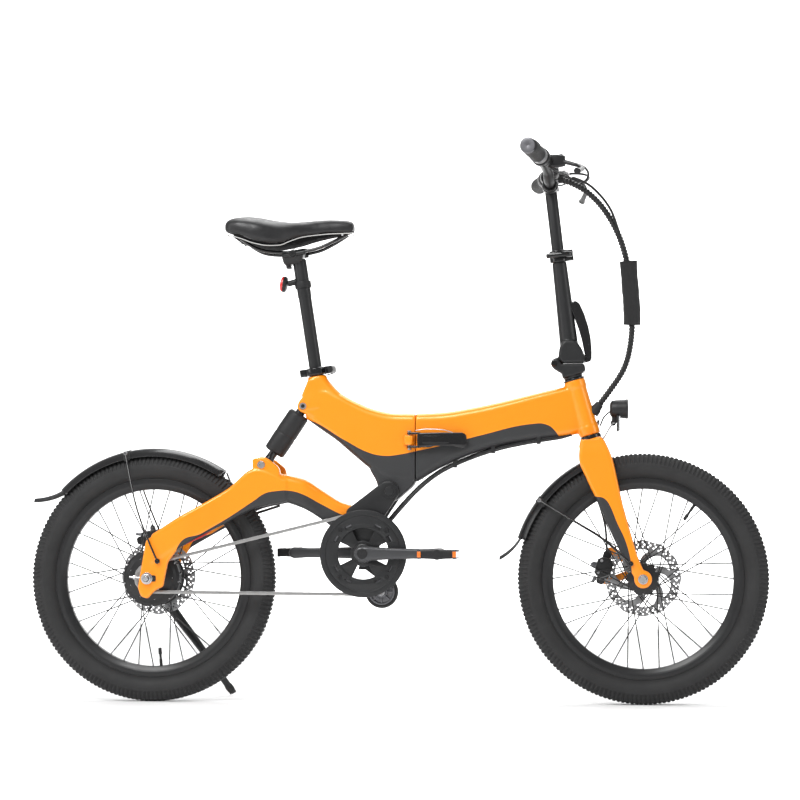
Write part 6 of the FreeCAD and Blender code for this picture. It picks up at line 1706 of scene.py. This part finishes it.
def make_levers():
    mounts = []
    bits = []
    for side, word in ((-1, "right"), (1, "left")):
        place = on_bar(side, 158)
        mounts.append(spun(hoop(0, 20, 11.3, 16.6), place, 1.2))
        mounts.append(loft("X", [(326, *sorted_pair(side, 107, 125, 1104, 1131), 5),
                                 (340, *sorted_pair(side, 107, 125, 1104, 1131), 5),
                                 (360, *sorted_pair(side, 109, 123, 1107, 1129), 5)], 14))
        mounts.append(pipe([(344, side * 108, 1120), (352, side * 98, 1121), (360, side * 88, 1120)], 5.6, 20, 16,
                           lambda t, a, d: 1 - 0.35 * t))
        bits.append(lathe([(0, 1.5), (0, 4.2), (9, 4.2), (11, 3.4), (11, 1.5)], (359, side * 90, 1120),
                          (0.6, -side * 0.8, 0), 0.5, 20))
        bits.append(socket_bolt((352, side * 116, 1130.6), UP, 4.4, 2.0))
        points = [(350, side * 116, 1118), (372, side * 121, 1112), (392, side * 130, 1104), (398, side * 168, 1094),
                  (392, side * 205, 1085), (387, side * 233, 1080)]
        blade = pipe(points, 5.0, 70, 20, lever_shape)
        pivot = drum(8, 1112.6, 1123.4, (352, side * 116, 0), UP, 1.2, 36)
        piece(f"brake_blade_{word}", [blade, pivot], BLACK_ALLOY, f"brake_lever_{word}", [f"brake_lever_{word}"], 45)
    box = loft("Z", [(STEM.z + 20, STEM.x - 10, -29, STEM.x + 14, 29, 7),
                     (STEM.z + 26, STEM.x - 14, -31, STEM.x + 18, 31, 8),
                     (STEM.z + 40, STEM.x - 14, -31, STEM.x + 18, 31, 8),
                     (STEM.z + 44, STEM.x - 12, -29, STEM.x + 16, 29, 7)], 18)
    glass = flat_plate([rounded([(STEM.x - 9, -25), (STEM.x + 12, -25), (STEM.x + 12, 25), (STEM.x - 9, 25)], 3, 3)],
                       STEM.z + 43.2, STEM.z + 44.4, 0.4)
    strap = [lathe(hoop(y, y + 9, 11.3, 14.4), (STEM.x, 0, STEM.z), LEFT, 0.8, 40) for y in (-37, 28)]
    piece("control_mounts", mounts, BLACK_ALLOY, "bars", ["bar_controls"], 40)
    piece("control_bits", bits, SILVER, "bars")
    piece("display_case", [box] + strap, PLASTIC, "bars", (), 40)
    piece("display_glass", glass, GLOSS, "bars", (), 40)
    button = [moved(drum(4.2, 17.4, 21.4, (0, 0, 138), (0.8, 0.5, 0), 0.8, 24), on_bar(1, 0))]
    piece("button_red", button, RED_LENS, "bars")
    cables = []
    for side in (-1, 1):
        cables.append(pipe([(366, side * 82, 1120), (392, side * 66, 1118), (408, side * 34, 1106), (402, -10, 1090),
                            (384, -20, 1082)], 2.5, 60, 12))
        cables.append(pipe([(318, side * 138, 1112), (338, side * 112, 1096), (362, side * 62, 1098),
                            (372, side * 8 - 14, 1090),
                            (366, -21, 1088)], 1.9, 60, 10))
    piece("control_cables", cables, CABLE, "bars")


def make_second_hose():
    """A thinner hose that bows out in front and joins the bundle."""
    line = [(372, -30, 1096), (398, -34, 1088), (430, -30, 1060), (452, -22, 1030), (462, -16, 1004), (468, -12, 985)]
    piece("second_hose", pipe(line, 2.7, 70, 12), CABLE, "bars")


def make_grommet():
    """The rubber boot on the head tube that the bundle goes into."""
    end, before = Vector((422, 0, 617)), Vector((456, 0, 661))
    run = (before - end).normalized()
    boot = lathe([(-16, 0.4), (-16, 12), (-6, 11.6), (0, 9.6), (9, 8.4), (9, 6.6), (0, 6.5), (0, 0.4)],
                 end, run, 0.8, 40)
    piece("harness_grommet", boot, RUBBER, "front_frame", (), 45)


def make_sleeve():
    """The fabric sleeve laced round the bundle, a little wider than it, with a seam down its side."""
    def wrap(t, angle, distance):
        fold = 0.03 * math.sin(distance / 7.0 + 2 * math.sin(angle)) + 0.02 * math.sin(distance / 3.1 + angle * 2)
        lip = 0.1 * math.exp(-((min(t, 1 - t)) / 0.02) ** 2)
        seam = 0.07 * math.exp(-((angle - 1.6) / 0.12) ** 2)
        return (1.0 + 0.85 * abs(math.cos(angle)) ** 1.4 + fold + lip + seam) * (0.96 if t in (0, 1) else 1)

    sleeve = pipe([(488, 0, 922), (489.6, -0.4, 894), (492, 0, 862), (495.5, 0, 816), (495, 0, 789)],
                  9.6, 150, 48, wrap)
    piece("cable_sleeve", sleeve, SLEEVE, "handlepost", (), 0)


def make_headlight():
    """Lamp head with its clear front, a reflector plate below, and a wire bracket from the crown."""
    head = [lathe([(448, 0.4), (448, 12), (452, 17.5), (462, 19), (479, 19.6), (480.4, 20.6), (486, 20.6), (486.4, 18),
                   (482, 16.6), (482, 0.4)],
                  (0, 0, 613), (1, 0, 0), 0.9, 56)]
    head.append(loft("Z", [(584, 452, -5, 462, 5, 2), (600, 452, -6, 464, 6, 2)], 6))
    head.append(lathe(hoop(-5, 5, 2.1, 6), (455, 0, 584), LEFT, 0.7, 28))
    piece("lamp_head", head, PLASTIC, "headlight", ["headlight"], 40)
    lens_face = lathe([(481, 0.3), (481, 17.4), (484.4, 17.4), (486.6, 11), (487.4, 0.3)], (0, 0, 613),
                      (1, 0, 0), 0.5, 48)
    piece("lamp_lens", lens_face, CLEAR_LENS, "headlight", (), 40)
    back = plate([rounded([(-22, 566), (22, 566), (22, 600), (-22, 600)], 4, 3)], 462.2, 466.6, 1.0, frame_x())
    front_face = plate([rounded([(-20, 568), (20, 568), (20, 598), (-20, 598)], 3, 3)], 466.2, 469.8, 0.8, frame_x())
    piece("reflector_case", back, PLASTIC, "headlight", (), 40)
    piece("reflector_face", front_face, CLEAR_LENS, "headlight", (), 40)
    wires = [pipe([(432, side * 6, 549), (438, side * 8.5, 556), (446, side * 8.5, 572),
                   (455, side * 8.5, 584)], 1.6, 24, 10)
             for side in (-1, 1)]
    wires.append(lathe(hoop(-1, 6, 0.3, 6.4), (428, 0, 549), (0.87, 0, 0.5), 0.8, 28))
    piece("lamp_bracket", wires, SILVER, "fork")
    lead = pipe([(449, 0, 608), (438, 2, 600), (432, 3, 590), (428, 2, 578)], 1.7, 40, 10)
    piece("lamp_lead", lead, CABLE, "headlight")


def frame_x():
    """Local X, Y, Z become world Y, Z, X."""
    return Matrix(((0, 0, 1, 0), (1, 0, 0, 0), (0, 1, 0, 0), (0, 0, 0, 1)))


make_handlepost()
make_bar()
make_levers()
make_second_hose()
make_sleeve()
make_grommet()
make_headlight()


# ---------------------------------------------------------------- saddle, seatpost, rear light

SADDLE_KEYS = [(-358.5, 56, 986, 1006, 0.0), (-353, 72, 980, 1016, 0.5), (-340, 81, 975, 1021, 1.5),
               (-318, 84.5, 968, 1022.5, 3.0),
               (-290, 85, 958, 1020, 4.0), (-262, 80, 953.5, 1015, 4.2), (-240, 69, 955, 1011.5, 4.0),
               (-218, 56, 965, 1010, 3.4),
               (-195, 44, 974, 1011.5, 3.0), (-165, 35, 979, 1015, 2.6), (-135, 29.5, 982, 1018, 1.6),
               (-108, 26, 983, 1018.5, 0.6),
               (-92, 23, 984, 1014.5, 0.0), (-85.5, 16, 988, 1005, 0.0)]


def saddle_section(half, low, high, groove, count=64):
    """Round the saddle at one place: a crowned top with a shallow channel, full sides and a tucked skirt."""
    row = []
    middle_z = low + (high - low) * 0.5
    for k in range(count):
        a = math.tau * k / count
        c, s = math.cos(a), math.sin(a)
        y = half * math.copysign(abs(c) ** (0.7 if s >= 0 else 0.34), c)
        if s >= 0:
            z = middle_z + (high - middle_z) * s ** 0.86
            z -= groove * math.exp(-(y / 11.0) ** 2) * s
        else:
            z = middle_z - (middle_z - low) * abs(s) ** 0.34
            z += min(13, half * 0.3) * max(0.0, 1 - (y / half / 0.9) ** 4) * abs(s)
            y *= 1 - 0.05 * abs(s)
        row.append((y, z))
    return row


def saddle_shell(shrink=0.0, count=96):
    t = np.linspace(0, 1, count)
    wanted = -357 + 269 * (0.5 - 0.5 * np.cos(math.pi * (0.12 + 0.76 * t)) - 0.0351) / (1 - 0.0702)
    wanted = np.clip(wanted, -357, -88)
    rows = []
    for place, (half, low, high, groove) in zip(wanted, curve_through(SADDLE_KEYS, wanted)):
        half, low, high = half - shrink, low + shrink, high - shrink
        rows.append([(place, y, z) for y, z in saddle_section(half, low, high, groove)])
    return grid(rows, caps=True)


def puffed(name, data, voxel, reach, frames):
    item = scaled_object(name, data)
    remesh = item.modifiers.new("remesh", "REMESH")
    remesh.mode = "VOXEL"
    remesh.voxel_size = voxel * MM
    applied(item)
    rest = np.empty(len(item.data.vertices) * 3)
    item.data.vertices.foreach_get("co", rest)
    rest = rest.reshape(-1, 3)
    cloth = item.modifiers.new("cloth", "CLOTH")
    cloth.settings.quality = 5
    cloth.settings.use_pressure = True
    cloth.settings.uniform_pressure_force = 3
    cloth.settings.effector_weights.gravity = 0
    cloth.collision_settings.use_collision = False
    scene = bpy.context.scene
    for step in range(1, frames + 1):
        scene.frame_set(step)
    applied(item)
    scene.frame_set(1)
    now = np.empty(len(item.data.vertices) * 3)
    item.data.vertices.foreach_get("co", now)
    move = now.reshape(-1, 3) - rest
    length = np.linalg.norm(move, axis=1)[:, None]
    limit = reach * MM
    move = move * np.minimum(1, limit / np.maximum(length, 1e-9))
    item.data.vertices.foreach_set("co", (rest + move).ravel())
    relax = item.modifiers.new("relax", "SMOOTH")
    relax.factor = 0.5
    relax.iterations = 5
    finer = item.modifiers.new("finer", "SUBSURF")
    finer.levels = 1
    return applied(item)


def make_saddle():
    cover = puffed("saddle_cover", saddle_shell(2.0), 4.0, 2.6, 12)
    piece("saddle_cover", cover, SADDLE, "seat", ["saddle"], 0)
    # The cover's down-facing faces take the darker matte base finish: partly the real plastic base, partly painted
    # shade under the saddle.
    cover.data.materials.append(SADDLE_BASE_AND_SHADE)
    for polygon in cover.data.polygons:
        polygon.material_index = 1 if polygon.normal.z < -0.85 else 0
    edge = []
    wanted = np.linspace(-353, -90, 60)
    values = curve_through(SADDLE_KEYS, wanted)
    for place, (half, low, _, _) in zip(wanted, values):
        edge.append((place, half * 0.955 - 0.6, low + 1.6))
    loop = [(x, -y, z) for x, y, z in edge] + [(x, y, z) for x, y, z in reversed(edge)]
    ring = closed_pipe(loop, 1.0)
    piece("saddle_piping", ring, PIPING, "seat")
    rivets = [socket_bolt((x, side * y, z), (0.1, side, -0.25), 2.4, 1.2) for x, y, z in ((-334, 76, 973.5),
                                                                                          (-112, 22, 982.5))
              for side in (-1, 1)]
    piece("saddle_rivets", rivets, SILVER, "seat")
    pan = loft("X", [(-338, -58, 975, 58, 980, 2), (-300, -66, 963, 66, 970, 2), (-262, -60, 958, 60, 966, 2),
                     (-214, -42, 963, 42, 970, 2), (-165, -26, 974, 26, 980, 2), (-112, -18, 984, 18, 989, 2)], 40)
    piece("saddle_pan", pan, SADDLE_BASE_AND_SHADE, "seat")


def closed_pipe(points, radius, around=10):
    line = np.array(points, float)
    tangent = np.roll(line, -1, axis=0) - np.roll(line, 1, axis=0)
    tangent /= np.linalg.norm(tangent, axis=1)[:, None]
    side = np.cross(tangent, (0, 0, 1))
    side /= np.linalg.norm(side, axis=1)[:, None]
    up = np.cross(side, tangent)
    rows = [[place + a * radius * math.cos(t) + b * radius * math.sin(t) for t in np.linspace(0, math.tau, around,
                                                                                              endpoint=False)]
            for place, a, b in zip(line, side, up)]
    return grid(rows, along=True)


def make_seat_hardware():
    rails = []
    for side in (-1, 1):
        rails.append(pipe([(-338, side * 52, 985), (-305, side * 46, 956), (-262, side * 29, 944),
                           (-178, side * 26, 947),
                           (-130, side * 20, 968), (-104, side * 9, 984)], 3.5, 90, 16))
    head = [moved(loft("Z", [(243, -30, -13, 4, 13, 6), (249, -33, -18, 8, 18, 7), (262, -34, -23, 14, 23, 8),
                             (271, -30, -23, 20, 23, 7)], 18), SEAT)]
    for side in (-1, 1):
        head.append(moved(drum(5.6, -30, 18, (0, side * 28, 262), (1, 0, 0), 1.0, 24), SEAT))
        head.append(moved(drum(8.5, 0, 4, (-8, side * 31, 262), (0, side, 0), 1.2, 30), SEAT))
        head.append(moved(lathe(hoop(0, 8, 0.4, 5), (-24, side * 8, 244), (0, 0, -1), 0.8, 20), SEAT))
    piece("saddle_rails", rails, GLOSS, "seat", ["saddle_frame"], 0)
    piece("saddle_clamp", head, BLACK_ALLOY, "seat", (), 40)
    nuts = [moved(socket_bolt((-8, side * 35, 262), (0, side, 0), 5.0, 2.6), SEAT) for side in (-1, 1)]
    piece("saddle_clamp_nuts", nuts, BLACK_ALLOY, "seat")
    post = spun([(-96, 11.6), (-96, 13.6), (249, 13.6), (251, 12.9), (251, 11.6)], SEAT, 0.4, 64)
    sleeve = spun(hoop(170, 249, 13.5, 14.5), SEAT, 0.4, 64)
    piece("seatpost_tube", [post, sleeve], SATIN_TUBE, "seat", ["seatpost"], 40)
    band = spun(hoop(190, 204, 14.5, 17.4), SEAT, 1.0, 56)
    hinge = (-216, 0, 884)
    arm = [pipe([(-206, 0, 888), (-214, 0, 886), (-224, 0, 883), (-231, 0, 881)], 6.2, 16, 20),
           lathe(hoop(-5, 5, 1.2, 6), hinge, LEFT, 0.7, 24)]
    back, face = (-232, 0, 879.5), (-1, 0, 0.17)
    case = lathe([(0, 0.4), (0, 11), (1.5, 15.6), (6.4, 17), (7.8, 17), (7.8, 0.4)], back, face, 0.8, 48)
    piece("rear_light_case", [band, case] + arm, PLASTIC, "seat", ["rear_light"], 40)
    glass = lathe([(7.6, 0.4), (7.6, 16.8), (12, 16.2), (14.6, 11), (15.4, 0.4)], back, face, 1.4, 48)
    piece("rear_light_lens", glass, RED_LENS, "seat", (), 40)


def make_seat_clamp():
    collar = [spun([(2.6, 16.7), (2.6, 21.6), (4.6, 23.4), (16.4, 23.4), (18.4, 21.6), (18.4, 16.7)], SEAT, 0.8, 64)]
    for lugs in ([(-20, -12), (-34, -9), (-35, 26), (-22, 33), (-4, 33), (-8, 18)],
                 [(4, 33), (14, 33), (18, 24), (30, 12), (30, -9), (20, -12), (8, 18)]):
        collar.append(moved(flat_plate([rounded(lugs, 2.4, 3)], 2.6, 18.6, 1.6), SEAT))
    piece("seat_collar", collar, GLOSS, "rear_frame", ["seat_clamp"], 40)
    bolt = joined([straight((-31, 26, 10.5), (17, 26, 10.5), 2.6, 16),
                   lathe([(0, 0.3), (0, 7.2), (5.5, 6.4), (5.5, 0.3)], (-30, 26, 10.5), (-1, 0, 0), 0.7, 24)])
    piece("seat_skewer", moved(bolt, SEAT), SILVER, "rear_frame")
    blade = pipe([(20, 26, 10.5), (32, 24, 10.5), (37, 8, 10.4), (36, -12, 10), (33, -27, 9.6)], 5.6, 44, 16,
                 lambda t, a, d: (1.15 - 0.2 * t) * (1 + 0.4 * abs(math.sin(a))))
    hub = drum(7.6, 4.6, 16.4, (19, 26, 0), UP, 1.0, 30)
    piece("seat_lever_blade", moved(joined([blade, hub]), SEAT), BLACK_ALLOY, "seat_lever", ["seat_clamp_lever"], 40)
    tip = straight((19.4, 26, 4.4), (19.4, 26, 17.4), 3.6, 20)
    piece("seat_lever_pin", moved(tip, SEAT), SILVER, "seat_lever")


make_saddle()
make_seat_hardware()
make_seat_clamp()


# ---------------------------------------------------------------- finishes of the carried-over pieces

FINISHES = (
    (BLACK_ALLOY, "seat_clamp frame_pins seat_clamp_lever saddle_frame bottom_bracket rear_caliper hub_motor "
                  "rear_rim crank_arm_right crank_arm_left chainring kickstand headset_cups frame_latch_lever "
                  "front_caliper handlepost_base front_hub front_rim post_clamp post_clamp_lever "
                  "brake_lever_left brake_lever_right"),
    (SATIN_TUBE, "seatpost handlepost_lower handlepost_upper handlebar"),
    (SADDLE, "saddle"),
    (PLASTIC, "rear_light pedal_right pedal_left battery_pack headlight handlepost_latch bar_controls throttle"),
    (RUBBER, "shock_body caster_wheel grips"),
    (GREY_ALLOY, "shock_rod"),
    (SILVER, "swingarm_bolts front_axle"),
    (CHAIN_STEEL, "chain freewheel"),
    (FENDER, "rear_mudguard front_mudguard"),
    (CABLE, "swingarm_hose frame_cables"),
    (GLOSS, "rear_spokes front_spokes"),
    (TYRE, "rear_tyre front_tyre"),
    (ROTOR_STEEL, "rear_rotor front_rotor"),
)
for node_finish, node_names in FINISHES:
    for node_name in node_names.split():
        data = frame["nodes"][node_name].data
        for index in range(len(data.materials)):
            data.materials[index] = node_finish
        if not data.materials:
            data.materials.append(node_finish)
